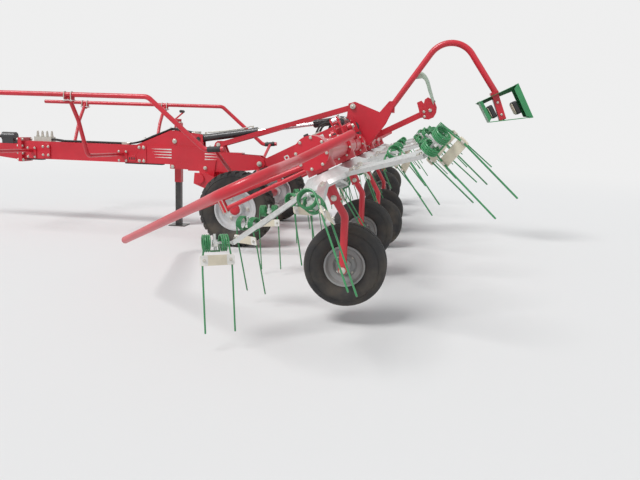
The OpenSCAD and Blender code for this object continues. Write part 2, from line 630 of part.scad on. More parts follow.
// The rod's eye carries its pin between the lugs: the rod follows the wing, and runs a little off the lugs in mid-fold
module fold_rod() translate([0, -fold_to, fold_pin_z]) {
    rotate([-90, 0, 0]) cylinder(h = 630, r = fold_rod_r);
    rotate([0, 90, 0]) translate([0, 0, -20]) cylinder(h = 40, r = 28);
    rotate([0, 90, 0]) translate([0, 0, -21]) cylinder(h = 42, r = fold_pin_r);
}
module fold_barrel_left() color(black) on_frame() fold_barrel();
module fold_barrel_right() color(black) on_frame() mirror([0, 1, 0]) fold_barrel();
module fold_rod_left() color(zinc) on_frame() fold_rod();
module fold_rod_right() color(zinc) on_frame() mirror([0, 1, 0]) fold_rod();

// Rotor i: bowl hub, channel arms, and a flat tongue through each inner coil up to the pair's bolt
arm_w = 52;
arm_h = 22;
arm_wall = 5;
tongue_l = 96;
pair_at = [coil_reach, -206];       // centre of a tine pair, as [radius, z]
arm_end = pair_at - tongue_l * [cos(tine_lean), sin(tine_lean)];
arm_slope = atan((arm_z - arm_end[1]) / (arm_end[0] - 130));
module each_arm(i) translate([0, rotor_y[i], 0])
    for (k = [0:arm_count - 1]) rotate([0, 0, rotor_phase(i) + k * 360 / arm_count]) children();
module at_pair() translate([pair_at[0], 0, pair_at[1]]) rotate([0, -tine_lean, 0]) children();
module rotor_hub(i) {
    translate([0, rotor_y[i], 0])
        rotate_extrude() polygon([[stub_d / 2 + fit, arm_z - 26], [stub_d / 2 + fit, hub_z - 4], [90, hub_z - 4],
            [150, arm_z + 8], [160, arm_z - 12], [150, arm_z - 20], [84, hub_z - 24], [54, arm_z - 26]]);
    each_arm(i) {
        translate([130, 0, arm_z]) rotate([0, arm_slope, 0]) difference() {
            translate([0, -arm_w / 2, -arm_h / 2]) cube([norm(arm_end - [130, arm_z]) + 10, arm_w, arm_h]);
            translate([30, -arm_w / 2 + arm_wall, -arm_h / 2 - 1])
                cube([420, arm_w - 2 * arm_wall, arm_h + 1 - arm_wall]);
        }
        at_pair() {
            translate([-tongue_l - 4, -14, -6]) cube([tongue_l + 16, 28, 12]);
            translate([0, 0, -coil_d / 2 + wire_d + seat]) cylinder(h = coil_d - wire_d, r = 8);
            translate([0, 0, 6]) cylinder(h = 10, r = 15, $fn = 6);
        }
    }
}
// Double spring tine: two coils about the pair's axis, the wire between them, and the plate that joins the tines
module tine_pair() {
    turns = 4;
    pitch = (coil_gap - 38) / turns;
    r = coil_d / 2;
    band = [for (t = [0:turns - 1]) each [[r - 4, t * pitch], [r - 0.7, (t + 0.22) * pitch], [r - 0.7, (t + 0.78) * pitch]]];
    coil_l = turns * pitch;
    for (s = [-1, 1]) translate([s * coil_gap / 2, 0, 0]) {
        translate([-coil_l / 2, 0, 0]) rotate([0, 90, 0]) rotate_extrude()
            polygon(concat(band, [[r - 4, coil_l], [r - wire_d, coil_l], [r - wire_d, 0]]));
        // tine from the coil's far end
        bar_between([s * (coil_l / 2 - wire_d / 2), r - wire_d / 2, 0], [s * coil_l / 2 + s * 8, r - wire_d / 2, -110], wire_d / 2);
        bar_between([s * coil_l / 2 + s * 8, r - wire_d / 2, -106], [s * coil_l / 2 + s * 8, r - wire_d / 2 - 12, -tine_l],
                    wire_d / 2);
    }
    translate([-coil_gap / 2 + coil_l / 2 - 2, 0, -r + wire_d / 2]) rotate([0, 90, 0])
        cylinder(h = coil_gap - coil_l + 4, d = wire_d - 0.4);
    translate([-coil_gap / 2 - coil_l / 2 - 18, r - 1.5, -112]) cube([coil_gap + coil_l + 36, 6, 50]);
}
module rotor_tines(i) each_arm(i) at_pair() tine_pair();

// Tedder wheel of leg i
module at_wheel(i) on_frame() translate([wheel_x, rotor_y[i] - side(i) * wheel_in, wheel_z - leg_out(i)])
    mirror([0, side(i) < 0 ? 0 : 1, 0]) children();
module field_tyre_shape() {
    r = field_r;
    b = field_rim_d / 2;
    h = field_tyre_w / 2;
    rotate([90, 0, 0]) rotate_extrude($fn = 72) polygon([
        [b - 14, -h + 30], [b, -h + 12], [b + 30, -h], [r - 30, -h + 6], [r - 8, -h + 26], [r, -h + 50],
        [r, h - 50], [r - 8, h - 26], [r - 30, h - 6], [b + 30, h], [b, h - 12], [b - 14, h - 30]]);
}
module field_rim_shape() {
    b = field_rim_d / 2 - 14;
    h = field_tyre_w / 2;
    rotate([90, 0, 0]) rotate_extrude($fn = 72) polygon([
        [b - seat, -h + 24], [b - seat, h - 24], [b - 10, h - 24], [b - 22, h - 50], [70, h - 56], [56, h - 74],
        [34, h - 74], [34, h - 40], [axle_pin_d / 2 + fit, h - 40], [axle_pin_d / 2 + fit, -h + 60],
        [34, -h + 60], [34, h - 86], [62, h - 84], [80, h - 66], [b - 28, h - 60], [b - 10, -h + 24]]);
}

drawbar();
hitch_eye();
axle_frame();
guard_rail_left();
guard_rail_right();
hydraulic_fittings();
hydraulic_hoses();
drive_shaft();
jack_sleeve();
jack_leg();
transport_tyre_left();
transport_tyre_right();
transport_rim_left();
transport_rim_right();
lift_arm();
upper_link();
lift_cylinder_barrel();
lift_cylinder_rod();
cardan_front();
cardan_rear();
centre_frame();
wing_frame_left();
wing_frame_right();
rear_hoop();
panel_frame();
guard_bow_left();
guard_bow_right();
wheel_legs_centre();
wheel_legs_left();
wheel_legs_right();
fold_barrel_left();
fold_barrel_right();
fold_rod_left();
fold_rod_right();
for (i = [1:6]) {
    color(zinc) on_frame() rotor_hub(i - 1);
    color("seagreen") on_frame() rotor_tines(i - 1);
    color(black) at_wheel(i - 1) field_tyre_shape();
    color(zinc) at_wheel(i - 1) field_rim_shape();
}
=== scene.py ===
import math
import bmesh
import bpy
from mathutils import Matrix, Vector


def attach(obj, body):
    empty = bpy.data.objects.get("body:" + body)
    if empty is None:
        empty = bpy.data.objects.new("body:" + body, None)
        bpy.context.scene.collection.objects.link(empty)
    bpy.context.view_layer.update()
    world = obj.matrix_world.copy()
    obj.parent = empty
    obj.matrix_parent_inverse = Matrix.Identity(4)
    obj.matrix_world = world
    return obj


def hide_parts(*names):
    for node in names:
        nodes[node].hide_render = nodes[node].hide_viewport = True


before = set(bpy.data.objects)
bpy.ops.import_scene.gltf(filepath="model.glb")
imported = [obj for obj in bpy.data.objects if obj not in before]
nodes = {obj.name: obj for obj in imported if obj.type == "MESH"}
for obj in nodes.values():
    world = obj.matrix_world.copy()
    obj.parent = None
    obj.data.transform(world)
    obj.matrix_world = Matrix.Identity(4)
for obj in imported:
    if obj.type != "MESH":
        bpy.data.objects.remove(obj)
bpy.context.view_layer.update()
print("frame loaded:", len(nodes), "nodes")

# the machine points along -X, its left wing along -Y; these places repeat the part's own values, in metres
plan = {
    "axleX": 0.535,
    "roadRadius": 0.350,
    "roadHalf": 0.120,
    "roadRim": 0.220,
    "roadFaceY": 1.000,
    "barTop": 0.870,
    "barBottom": 0.680,
    "barHalf": 0.065,
    "flangeX": -2.640,
    "supportX": (-1.490, -2.540),
    "railY": 1.150,
    "railZ": 1.333,
    "tilt": 27.0,
    "beamX": 1.049997,
    "beamZ": 0.980015,
    "rotorGap": 1.300,
    "armCount": 6,
    "armZ": -0.170,
    "pairRadius": 0.685,
    "pairZ": -0.206,
    "tineLean": 23.0,
    "tineLength": 0.445,
    "coilRadius": 0.0405,
    "coilGap": 0.086,
    "coilLength": 0.048,
    "wireRadius": 0.0045,
    "tyreRadius": 0.235,
    "tyreHalf": 0.095,
    "rimRadius": 0.131,
    "wheelIn": 0.160,
    "legBend": (0.010, -0.374),
    "legDrop": 0.297,
    "foldPin": 0.215,
    "bowY": 1.400,
}
sides = {"left": -1, "right": 1}
tiltAngle = math.radians(plan["tilt"])


def fromAxle(x, y, z):
    return Vector((plan["axleX"] + x, y, z))


def framePlace(u, v, w):
    # a place in the tedder frame's tilted axes
    c, s = math.cos(tiltAngle), math.sin(tiltAngle)
    return fromAxle(plan["beamX"] + u * c - w * s, v, plan["beamZ"] + u * s + w * c)


frameTurn = Matrix.Rotation(-tiltAngle, 4, "Y")
frameMatrix = Matrix.Translation(framePlace(0, 0, 0)) @ frameTurn


# shader helpers: arithmetic on a Value adds Math nodes
class Value:
    def __init__(self, finish, socket):
        self.finish = finish
        self.socket = socket

    def math(self, operation, *others):
        return self.finish.add("ShaderNodeMath", {"operation": operation}, self, *others)

    def __add__(self, other):
        return self.math("ADD", other)

    def __mul__(self, other):
        return self.math("MULTIPLY", other)

    def __rsub__(self, other):
        return self.finish.add("ShaderNodeMath", {"operation": "SUBTRACT"}, other, self)

    __radd__ = __add__

    def step(self, low, high):
        # 0 below low, 1 above high, smooth between
        smooth = {"interpolation_type": "SMOOTHSTEP"}
        return self.finish.add("ShaderNodeMapRange", smooth, self, low, high, 0.0, 1.0)


class Finish:
    # one procedural material, named for what it covers
    def __init__(self, name):
        self.material = bpy.data.materials.new(name)
        self.material.use_nodes = True
        self.tree = self.material.node_tree
        self.shader = self.tree.nodes["Principled BSDF"]
        self.place = self.add("ShaderNodeTexCoord", out="Object")

    def add(self, kind, settings=None, *values, out=0, **named):
        node = self.tree.nodes.new(kind)
        for key, setting in (settings or {}).items():
            setattr(node, key, setting)
        for index, value in list(enumerate(values)) + list(named.items()):
            socket = node.inputs[index.replace("_", " ") if isinstance(index, str) else index]
            if isinstance(value, Value):
                self.tree.links.new(value.socket, socket)
            else:
                socket.default_value = value
        return Value(self, node.outputs[out])

    def noise(self, scale, detail=3.0, rough=0.55, stretch=None):
        place = self.place
        if stretch:
            place = self.add("ShaderNodeMapping", None, place, Scale=stretch)
        return self.add("ShaderNodeTexNoise", None, Vector=place, Scale=scale, Detail=detail, Roughness=rough)

    def cells(self, scale):
        # one grey for each cell
        colour = self.add("ShaderNodeTexVoronoi", None, Vector=self.place, Scale=scale, out="Color")
        return self.add("ShaderNodeSeparateColor", None, colour)

    def mix(self, factor, first, second):
        node = self.tree.nodes.new("ShaderNodeMix")
        node.data_type = "RGBA"
        for index, value in ((0, factor), (6, first), (7, second)):
            if isinstance(value, Value):
                self.tree.links.new(value.socket, node.inputs[index])
            else:
                node.inputs[index].default_value = (*value, 1) if isinstance(value, tuple) else value
        return Value(self, node.outputs[2])

    def height(self):
        return self.add("ShaderNodeSeparateXYZ", None, self.place, out="Z")

    def upward(self):
        normal = self.add("ShaderNodeNewGeometry", out="Normal")
        return self.add("ShaderNodeSeparateXYZ", None, normal, out="Z")

    def bump(self, height, strength, distance):
        return self.add("ShaderNodeBump", None, Strength=strength, Distance=distance, Height=height)

    def feed(self, **sockets):
        for name, value in sockets.items():
            socket = self.shader.inputs[name.replace("_", " ")]
            if isinstance(value, Value):
                self.tree.links.new(value.socket, socket)
            else:
                socket.default_value = (*value, 1) if isinstance(value, tuple) else value
        return self.material


# what each kind of finish is made of: its patterns' scales per metre, where they start and end, and their colours
paintLook = {"patch": 2.4, "patchSteps": (0.35, 0.70), "streak": 9.0, "streakSteps": (0.50, 0.78),
             "streakStretch": (1.0, 1.0, 0.14), "speck": 95.0, "speckSteps": (0.68, 0.74), "speckArea": 6.0,
             "speckAreaSteps": (0.5, 0.62), "lowSteps": (0.05, 1.0), "upSteps": (0.25, 0.95), "film": 14.0,
             "filmSteps": (0.30, 0.80), "grain": 260.0, "dust": (0.42, 0.35, 0.25), "bare": (0.16, 0.13, 0.12)}
zincLook = {"patch": 5.0, "stain": 11.0, "stainStretch": (1.0, 1.0, 0.3), "stainSteps": (0.56, 0.80),
            "stainColour": (0.30, 0.27, 0.22), "dark": 0.72}
rubberLook = {"grain": 320.0, "waves": 40.0, "film": 7.0, "filmSteps": (0.35, 0.72), "lowSteps": (0.0, 0.35),
              "dust": (0.20, 0.165, 0.12)}
chromeLook = {"haze": 30.0, "hazeSteps": (0.45, 0.8), "clear": (0.80, 0.81, 0.83), "dull": (0.55, 0.55, 0.54)}
plasticLook = {"patch": 12.0, "patchSteps": (0.35, 0.75), "grain": 400.0, "dark": 0.8}


def paintFinish(name, colour, shade, gloss=0.32, dusty=0.35, chipped=0.4):
    f, look = Finish(name), paintLook
    patch = f.noise(look["patch"], 4.0)
    streak = f.noise(look["streak"], 4.0, stretch=look["streakStretch"]).step(*look["streakSteps"])
    speck = (f.noise(look["speck"], 2.0).step(*look["speckSteps"])
             * f.noise(look["speckArea"], 2.0).step(*look["speckAreaSteps"]))
    low = 1.0 - f.height().step(*look["lowSteps"])
    settled = f.upward().step(*look["upSteps"]) * 0.5 + low * 0.5 + streak * 0.25
    film = settled * f.noise(look["film"], 5.0).step(*look["filmSteps"]) * dusty
    base = f.mix(patch.step(*look["patchSteps"]), colour, shade)
    base = f.mix(film, base, look["dust"])
    base = f.mix(speck * chipped, base, look["bare"])
    rough = gloss + film * 0.5 + patch * 0.08
    return f.feed(Base_Color=base, Roughness=rough, Coat_Weight=0.25, Coat_Roughness=0.18,
                  Normal=f.bump(f.noise(look["grain"], 2.0), 0.08, 0.0006))


def zincFinish(name, colour, scale=70.0, rough=0.42, metal=0.75):
    f, look = Finish(name), zincLook
    flake = f.cells(scale)
    patch = f.noise(look["patch"], 5.0)
    stain = f.noise(look["stain"], 5.0, stretch=look["stainStretch"]).step(*look["stainSteps"])
    base = f.mix(flake * 0.35 + patch * 0.3, colour, tuple(c * look["dark"] for c in colour))
    base = f.mix(stain * 0.35, base, look["stainColour"])
    return f.feed(Base_Color=base, Metallic=metal, Roughness=rough + flake * 0.12 + stain * 0.2,
                  Normal=f.bump(patch + flake * 0.4, 0.12, 0.0008))


def rubberFinish(name, colour, dustAmount=0.45):
    f, look = Finish(name), rubberLook
    grain = f.noise(look["grain"], 3.0)
    film = f.noise(look["film"], 6.0).step(*look["filmSteps"]) * dustAmount
    low = 1.0 - f.height().step(*look["lowSteps"])
    base = f.mix(film * (0.55 + low * 0.45), colour, look["dust"])
    return f.feed(Base_Color=base, Roughness=0.72 + film * 0.22,
                  Normal=f.bump(grain + f.noise(look["waves"], 3.0) * 0.6, 0.25, 0.0012))


def chromeFinish(name):
    f, look = Finish(name), chromeLook
    haze = f.noise(look["haze"], 4.0).step(*look["hazeSteps"])
    return f.feed(Base_Color=f.mix(haze * 0.3, look["clear"], look["dull"]), Metallic=1.0,
                  Roughness=0.10 + haze * 0.16)


def plasticFinish(name, colour, rough=0.5):
    f, look = Finish(name), plasticLook
    patch = f.noise(look["patch"], 4.0)
    base = f.mix(patch.step(*look["patchSteps"]), colour, tuple(c * look["dark"] for c in colour))
    return f.feed(Base_Color=base, Roughness=rough + patch * 0.15,
                  Normal=f.bump(f.noise(look["grain"], 2.0), 0.12, 0.0005))


finishes = {
    "redPaint": paintFinish("redPaint", (0.60, 0.012, 0.030), (0.50, 0.010, 0.024), dusty=0.12),
    "tineGreen": paintFinish("tineGreen", (0.030, 0.250, 0.085), (0.022, 0.190, 0.065), 0.40, 0.15, 0.2),
    "greenPaint": paintFinish("greenPaint", (0.035, 0.270, 0.095), (0.026, 0.210, 0.075), 0.40, 0.25, 0.3),
    "blackPaint": paintFinish("blackPaint", (0.018, 0.018, 0.020), (0.026, 0.026, 0.028), 0.35, 0.20, 0.3),
    "galvanised": zincFinish("galvanised", (0.66, 0.67, 0.66)),
    "zincBolt": zincFinish("zincBolt", (0.60, 0.58, 0.52), 200.0, 0.35, 0.85),
    "silverRim": paintFinish("silverRim", (0.62, 0.63, 0.64), (0.52, 0.53, 0.54), 0.35, 0.35, 0.2),
    "greyRim": paintFinish("greyRim", (0.27, 0.28, 0.28), (0.21, 0.215, 0.215), 0.42, 0.40, 0.3),
    "tyreRubber": rubberFinish("tyreRubber", (0.020, 0.020, 0.021)),
    "hoseRubber": rubberFinish("hoseRubber", (0.014, 0.014, 0.015), 0.2),
    "blackPlastic": plasticFinish("blackPlastic", (0.022, 0.022, 0.023)),
    # the strap's pale green, lightened further as a painted highlight
    "paleGreenPaintedHighlight": plasticFinish("paleGreenPaintedHighlight", (0.50, 0.63, 0.50), 0.42),
    "creamPlate": plasticFinish("creamPlate", (0.72, 0.66, 0.52), 0.45),
    "whitePlate": plasticFinish("whitePlate", (0.80, 0.79, 0.75), 0.45),
    "chromeRod": chromeFinish("chromeRod"),
}
print("finishes made:", len(finishes))


def finishOf(name):
    if name.startswith("rotor_hub"):
        return "galvanised"
    if name.startswith("rotor_tines"):
        return "tineGreen"
    if "tyre" in name:
        return "tyreRubber"
    if name.startswith("transport_rim"):
        return "silverRim"
    if name.startswith("tedder_rim"):
        return "greyRim"
    return {"hydraulic_fittings": "zincBolt", "hydraulic_hoses": "hoseRubber", "drive_shaft": "blackPaint",
            "jack_leg": "blackPaint", "lift_cylinder_barrel": "blackPaint", "lift_cylinder_rod": "chromeRod",
            "cardan_front": "blackPlastic", "cardan_rear": "blackPlastic", "panel_frame": "greenPaint",
            "fold_barrel_left": "blackPaint", "fold_barrel_right": "blackPaint", "fold_rod_left": "chromeRod",
            "fold_rod_right": "chromeRod"}.get(name, "redPaint")


for name, node in nodes.items():
    for slot in node.material_slots:
        slot.material = finishes[finishOf(name)]
print("finishes assigned")


def place(point, ahead=(0, 0, 1), across=None):
    # matrix at a point, its Z along `ahead` and, where given, its X near `across`
    z = Vector(ahead).normalized()
    x = Vector(across) if across is not None else z.orthogonal()
    x = (x - z * x.dot(z)).normalized()
    y = z.cross(x)
    return Matrix.Translation(Vector(point)) @ Matrix((x, y, z)).transposed().to_4x4()


# parts of a bolt in thread radii, and its washer in metres
boltForm = {"washer": (1.9, 2.05), "washerTop": 0.0022, "washerEdge": 0.0014, "sunk": 0.0006,
            "head": (1.3, 1.72), "headHigh": 1.35, "headFoot": 0.002, "chamfer": 0.22, "stud": (0.8, 0.3)}


class Shape:
    # gathers small solids into one mesh piece
    def __init__(self, name, body):
        self.name = name
        self.body = body
        self.verts = []
        self.faces = []
        self.kinds = []
        self.finishes = []

    def face(self, faces, finish):
        if finish not in self.finishes:
            self.finishes.append(finish)
        self.faces += faces
        self.kinds += [self.finishes.index(finish)] * len(faces)

    def lathe(self, matrix, profile, finish, sides=24):
        # profile of (radius, height) rows from the top axis outward and down, closed at both ends by caps
        start = len(self.verts)
        for radius, height in profile:
            for s in range(sides):
                a = 2 * math.pi * s / sides
                self.verts.append(matrix @ Vector((radius * math.cos(a), radius * math.sin(a), height)))
        rows = len(profile)
        faces = [tuple(start + s for s in range(sides)),
                 tuple(start + (rows - 1) * sides + s for s in reversed(range(sides)))]
        for r in range(rows - 1):
            for s in range(sides):
                a, b = start + r * sides + s, start + r * sides + (s + 1) % sides
                faces.append((a, a + sides, b + sides, b))
        self.face(faces, finish)

    def ring(self, matrix, profile, finish, sides=24):
        # closed profile turned about Z
        start = len(self.verts)
        n = len(profile)
        for s in range(sides):
            a = 2 * math.pi * s / sides
            for radius, height in profile:
                self.verts.append(matrix @ Vector((radius * math.cos(a), radius * math.sin(a), height)))
        faces = []
        for s in range(sides):
            here, ahead = start + s * n, start + (s + 1) % sides * n
            for i in range(n):
                j = (i + 1) % n
                faces.append((here + i, ahead + i, ahead + j, here + j))
        self.face(faces, finish)

    def bolt(self, point, ahead, size=0.008, finish="zincBolt", stud=0.0):
        # washer and chamfered hexagon head, and the thread's end where it shows; size is the thread's radius
        form, m = boltForm, place(point, ahead)
        inner, outer = (size * r for r in form["washer"])
        rows = [(inner, form["washerTop"]), (outer, form["washerEdge"]), (outer, -form["sunk"])]
        self.lathe(m, rows, finish, 18)
        inner, outer = (size * r for r in form["head"])
        top = size * form["headHigh"] + form["headFoot"]
        rows = [(inner, top), (outer, top - size * form["chamfer"]), (outer, form["headFoot"])]
        self.lathe(m, rows, finish, 6)
        if stud:
            thin, chamfer = (size * r for r in form["stud"])
            self.lathe(m, [(thin, top + stud), (size, top + stud - chamfer), (size, top - 0.001)], finish, 12)

    def slab(self, matrix, outline, thick, finish, bevel=0.0015):
        # bevelled plate: outline in the matrix's X and Y, thickness along its Z
        n = len(outline)
        centre = Vector((sum(p[0] for p in outline) / n, sum(p[1] for p in outline) / n))
        rows = []
        for shrink, z in ((bevel, 0.0), (0.0, bevel), (0.0, thick - bevel), (bevel, thick)):
            row = []
            for p in outline:
                # in towards the middle by the bevel
                v = Vector(p) - centre
                v = v * (1 - 1.3 * shrink / max(v.length, 1e-6)) + centre
                row.append(matrix @ Vector((v[0], v[1], z)))
            rows.append(row)
        start = len(self.verts)
        for row in rows:
            self.verts += row
        faces = [tuple(start + i for i in reversed(range(n))), tuple(start + 3 * n + i for i in range(n))]
        for r in range(3):
            for i in range(n):
                a, b = start + r * n + i, start + r * n + (i + 1) % n
                faces.append((a, b, b + n, a + n))
        self.face(faces, finish)

    def tube(self, path, radius, finish, sides=10):
        # round bar along a path; radius may be one number or one for each point
        start = len(self.verts)
        points = [Vector(p) for p in path]
        n = len(points)
        normal = None
        for i, p in enumerate(points):
            along = (points[min(i + 1, n - 1)] - points[max(i - 1, 0)]).normalized()
            normal = along.orthogonal() if normal is None else normal - along * normal.dot(along)
            normal.normalize()
            other = along.cross(normal)
            r = radius[i] if isinstance(radius, (list, tuple)) else radius
            for s in range(sides):
                a = 2 * math.pi * s / sides
                self.verts.append(p + (normal * math.cos(a) + other * math.sin(a)) * r)
        faces = [tuple(start + s for s in reversed(range(sides))),
                 tuple(start + (n - 1) * sides + s for s in range(sides))]
        for i in range(n - 1):
            for s in range(sides):
                a, b = start + i * sides + s, start + i * sides + (s + 1) % sides
                faces.append((a, b, b + sides, a + sides))
        self.face(faces, finish)

    def done(self, *replaced):
        mesh = bpy.data.meshes.new(self.name)
        mesh.from_pydata([tuple(v) for v in self.verts], [], self.faces)
        for finish in self.finishes:
            mesh.materials.append(finishes[finish])
        mesh.polygons.foreach_set("material_index", self.kinds)
        mesh.polygons.foreach_set("use_smooth", [True] * len(self.faces))
        bm = bmesh.new()
        bm.from_mesh(mesh)
        bmesh.ops.recalc_face_normals(bm, faces=bm.faces)
        bm.to_mesh(mesh)
        bm.free()
        mesh.set_sharp_from_angle(angle=math.radians(32))
        piece = bpy.data.objects.new(self.name, mesh)
        bpy.context.scene.collection.objects.link(piece)
        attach(piece, self.body)
        if replaced:
            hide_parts(*replaced)
        return piece


def smoothPath(points, steps=6):
    # Catmull-Rom curve through the points
    points = [Vector(p) for p in points]
    ends = [points[0] * 2 - points[1]] + points + [points[-1] * 2 - points[-2]]
    path = []
    for i in range(1, len(ends) - 2):
        a, b, c, d = ends[i - 1:i + 3]
        for k in range(steps):
            t = k / steps
            bend = (2 * a - 5 * b + 4 * c - d) * t * t + (3 * b - 3 * c + d - a) * t ** 3
            path.append(0.5 * (2 * b + (c - a) * t + bend))
    return path + [points[-1]]


def rectangle(w, h, corner=0.0):
    # outline of a plate about its centre, with cut corners
    x, y, c = w / 2, h / 2, corner
    if not c:
        return [(-x, -y), (x, -y), (x, y), (-x, y)]
    return [(c - x, -y), (x - c, -y), (x, c - y), (x, y - c), (x - c, y), (c - x, y), (-x, y - c), (-x, c - y)]


rotorY = [(i - 2.5) * plan["rotorGap"] for i in range(6)]
sectionOf = ["wing_left", "wing_left", "centre_section", "centre_section", "wing_right", "wing_right"]
phaseOf = [30 if i % 2 == 0 else 0 for i in range(6)]    # neighbours mesh, so each second rotor is turned
outward = [-1 if i < 3 else 1 for i in range(6)]
frameUp = frameTurn @ Vector((0, 0, 1))
frameBack = frameTurn @ Vector((1, 0, 0))
sideways = Vector((0, 1, 0))
# how far the legs of the two centre wheels are let out, so that the wheels stand on the floor
centreOut = (plan["beamZ"] + plan["legBend"][0] * math.sin(tiltAngle) + plan["legBend"][1] * math.cos(tiltAngle)
             - plan["legDrop"] - plan["tyreRadius"]) / math.cos(tiltAngle)


def wheelPlace(i, y):
    # a place on the axle of rotor i's wheel
    out = centreOut if i in (2, 3) else 0.0
    u = plan["legBend"][0] - plan["legDrop"] * math.sin(tiltAngle)
    w = plan["legBend"][1] - plan["legDrop"] * math.cos(tiltAngle) - out
    return framePlace(u, y, w)


def circleOf(count, radius, shift=0.0, turn=0.0):
    # offsets evenly round a circle that stands along the machine
    angles = [2 * math.pi * (k + shift) / count + turn for k in range(count)]
    return [Vector((radius * math.cos(a), 0, radius * math.sin(a))) for a in angles]


def sidePlane(y, way=1):
    # matrix of a plate that stands along the machine: its outline in X and Z, its thickness towards `way`
    turn = Matrix(((1, 0, 0, 0), (0, 0, way, 0), (0, 1, 0, 0), (0, 0, 0, 1)))
    return Matrix.Translation(fromAxle(0, y, 0)) @ turn


def flatPlace(x, y, z):
    # matrix of a level plate, its outline along and across the machine
    return place(fromAxle(x, y, z), (0, 0, 1), (1, 0, 0))


def tyreOutline(values, rim, radius, half):
    # half of a tyre's outline, from the bead on the rim out to the tread
    return ([(rim + p, half + q) for p, q in values["wall"]]
            + [(radius + p, half + q) for p, q in values["shoulder"]])


def mirrored(outline):
    return outline + [(p, -q) for p, q in reversed(outline)]


def sidewallRing(shape, m, values, radius, half):
    # raised line round both sidewalls
    low, high, wide = half - values["ringFoot"], half - values["ringTop"], values["ringWide"]
    for way in (-1, 1):
        rows = [(radius, way * low), (radius - wide / 2, way * high), (radius - wide, way * low)]
        shape.ring(m, rows, "tyreRubber", values["steps"])


# transport wheel: outlines are measured out from the rim or the tyre's radius, and from its half width
roadWheel = {
    "steps": 96,
    "wall": ((-0.023, -0.036), (-0.004, -0.016), (0.012, -0.010), (0.030, -0.004), (0.055, 0.0),
             (0.078, -0.003)),
    "shoulder": ((-0.038, -0.010), (-0.026, -0.024), (-0.018, -0.046), (-0.015, -0.070)),
    "rings": (0.088, 0.062),
    "ringWide": 0.006,
    "ringFoot": 0.007,
    "ringTop": 0.0005,
    "lugCount": 30,
    # a lug's stations, shoulder to middle: in from the side, top and foot below the radius, turn ahead
    "lug": ((0.006, 0.056, 0.064, 0.060), (0.013, 0.026, 0.048, 0.060), (0.030, 0.007, 0.034, 0.054),
            (0.050, 0.0, 0.024, 0.042), (0.114, 0.0, 0.024, -0.084)),
    "lugFootWide": 0.076,
    "lugTopWide": 0.056,
    "wheelBolts": (6, 0.102, 0.009),
    "wheelBoltFace": 0.0238,
    "capFace": 0.0955,
    "cap": ((0.020, 0.019), (0.034, 0.016), (0.044, 0.009), (0.047, 0.001), (0.060, -0.001), (0.060, -0.006)),
    "capBolts": (5, 0.0535, 0.0035),
    "capBoltFace": 0.0945,
    "capBoltTurn": 0.3,
    "valveHeight": 0.152,
    "valveFace": 0.052,
    "valve": ((0.0, 0.0), (0.022, 0.0), (0.034, -0.012)),
    "valveRadius": 0.004,
}


# transport tyres: a rounded carcass, and slanted shoulder lugs that run in to the middle of the tread
def roadTyre(side, s):
    values = roadWheel
    half, radius, rim = plan["roadHalf"], plan["roadRadius"], plan["roadRim"]
    shape = Shape("transportTread_" + side, "transport_wheel_" + side)
    centre = fromAxle(0, s * (plan["roadFaceY"] - half), radius)
    m = place(centre, (0, -1, 0), (1, 0, 0))
    shape.ring(m, mirrored(tyreOutline(values, rim, radius, half)), "tyreRubber", values["steps"])
    for away in values["rings"]:
        sidewallRing(shape, m, values, rim + away, half)
    last = 4 * (len(values["lug"]) - 1)
    for k in range(values["lugCount"]):
        for way in (-1, 1):
            turn = 2 * math.pi * (k + (0.5 if way > 0 else 0)) / values["lugCount"]
            start = len(shape.verts)
            for inward, top, foot, ahead in values["lug"]:
                for drop, wide in ((foot, values["lugFootWide"]), (top, values["lugTopWide"])):
                    for e in (-1, 1):
                        a = turn + ahead + e * wide
                        x, y = (radius - drop) * math.cos(a), (radius - drop) * math.sin(a)
                        shape.verts.append(m @ Vector((x, y, way * (half - inward))))
            faces = [(start, start + 1, start + 3, start + 2)]
            for a in range(start, start + last, 4):
                faces += [(a + 2, a + 3, a + 7, a + 6), (a, a + 2, a + 6, a + 4),
                          (a + 1, a + 5, a + 7, a + 3), (a, a + 4, a + 5, a + 1)]
            a = start + last
            faces.append((a, a + 2, a + 3, a + 1))
            shape.face(faces, "tyreRubber")
    shape.done("transport_tyre_" + side)
    # wheel bolts, the red hub cap with its small bolts, and the valve
    hub = Shape("transportHub_" + side, "transport_wheel_" + side)
    out = Vector((0, s, 0))
    count, circle, size = values["wheelBolts"]
    for offset in circleOf(count, circle):
        hub.bolt(centre + out * values["wheelBoltFace"] + offset, out, size)
    hub.lathe(place(centre + out * values["capFace"], out), values["cap"], "redPaint", 36)
    count, circle, size = values["capBolts"]
    for offset in circleOf(count, circle, turn=values["capBoltTurn"]):
        hub.bolt(centre + out * values["capBoltFace"] + offset, out, size)
    valve = centre + Vector((0, 0, values["valveHeight"])) + out * values["valveFace"]
    path = [valve + out * reach + Vector((0, 0, rise)) for reach, rise in values["valve"]]
    hub.tube(path, values["valveRadius"], "blackPlastic", 8)
    hub.done()


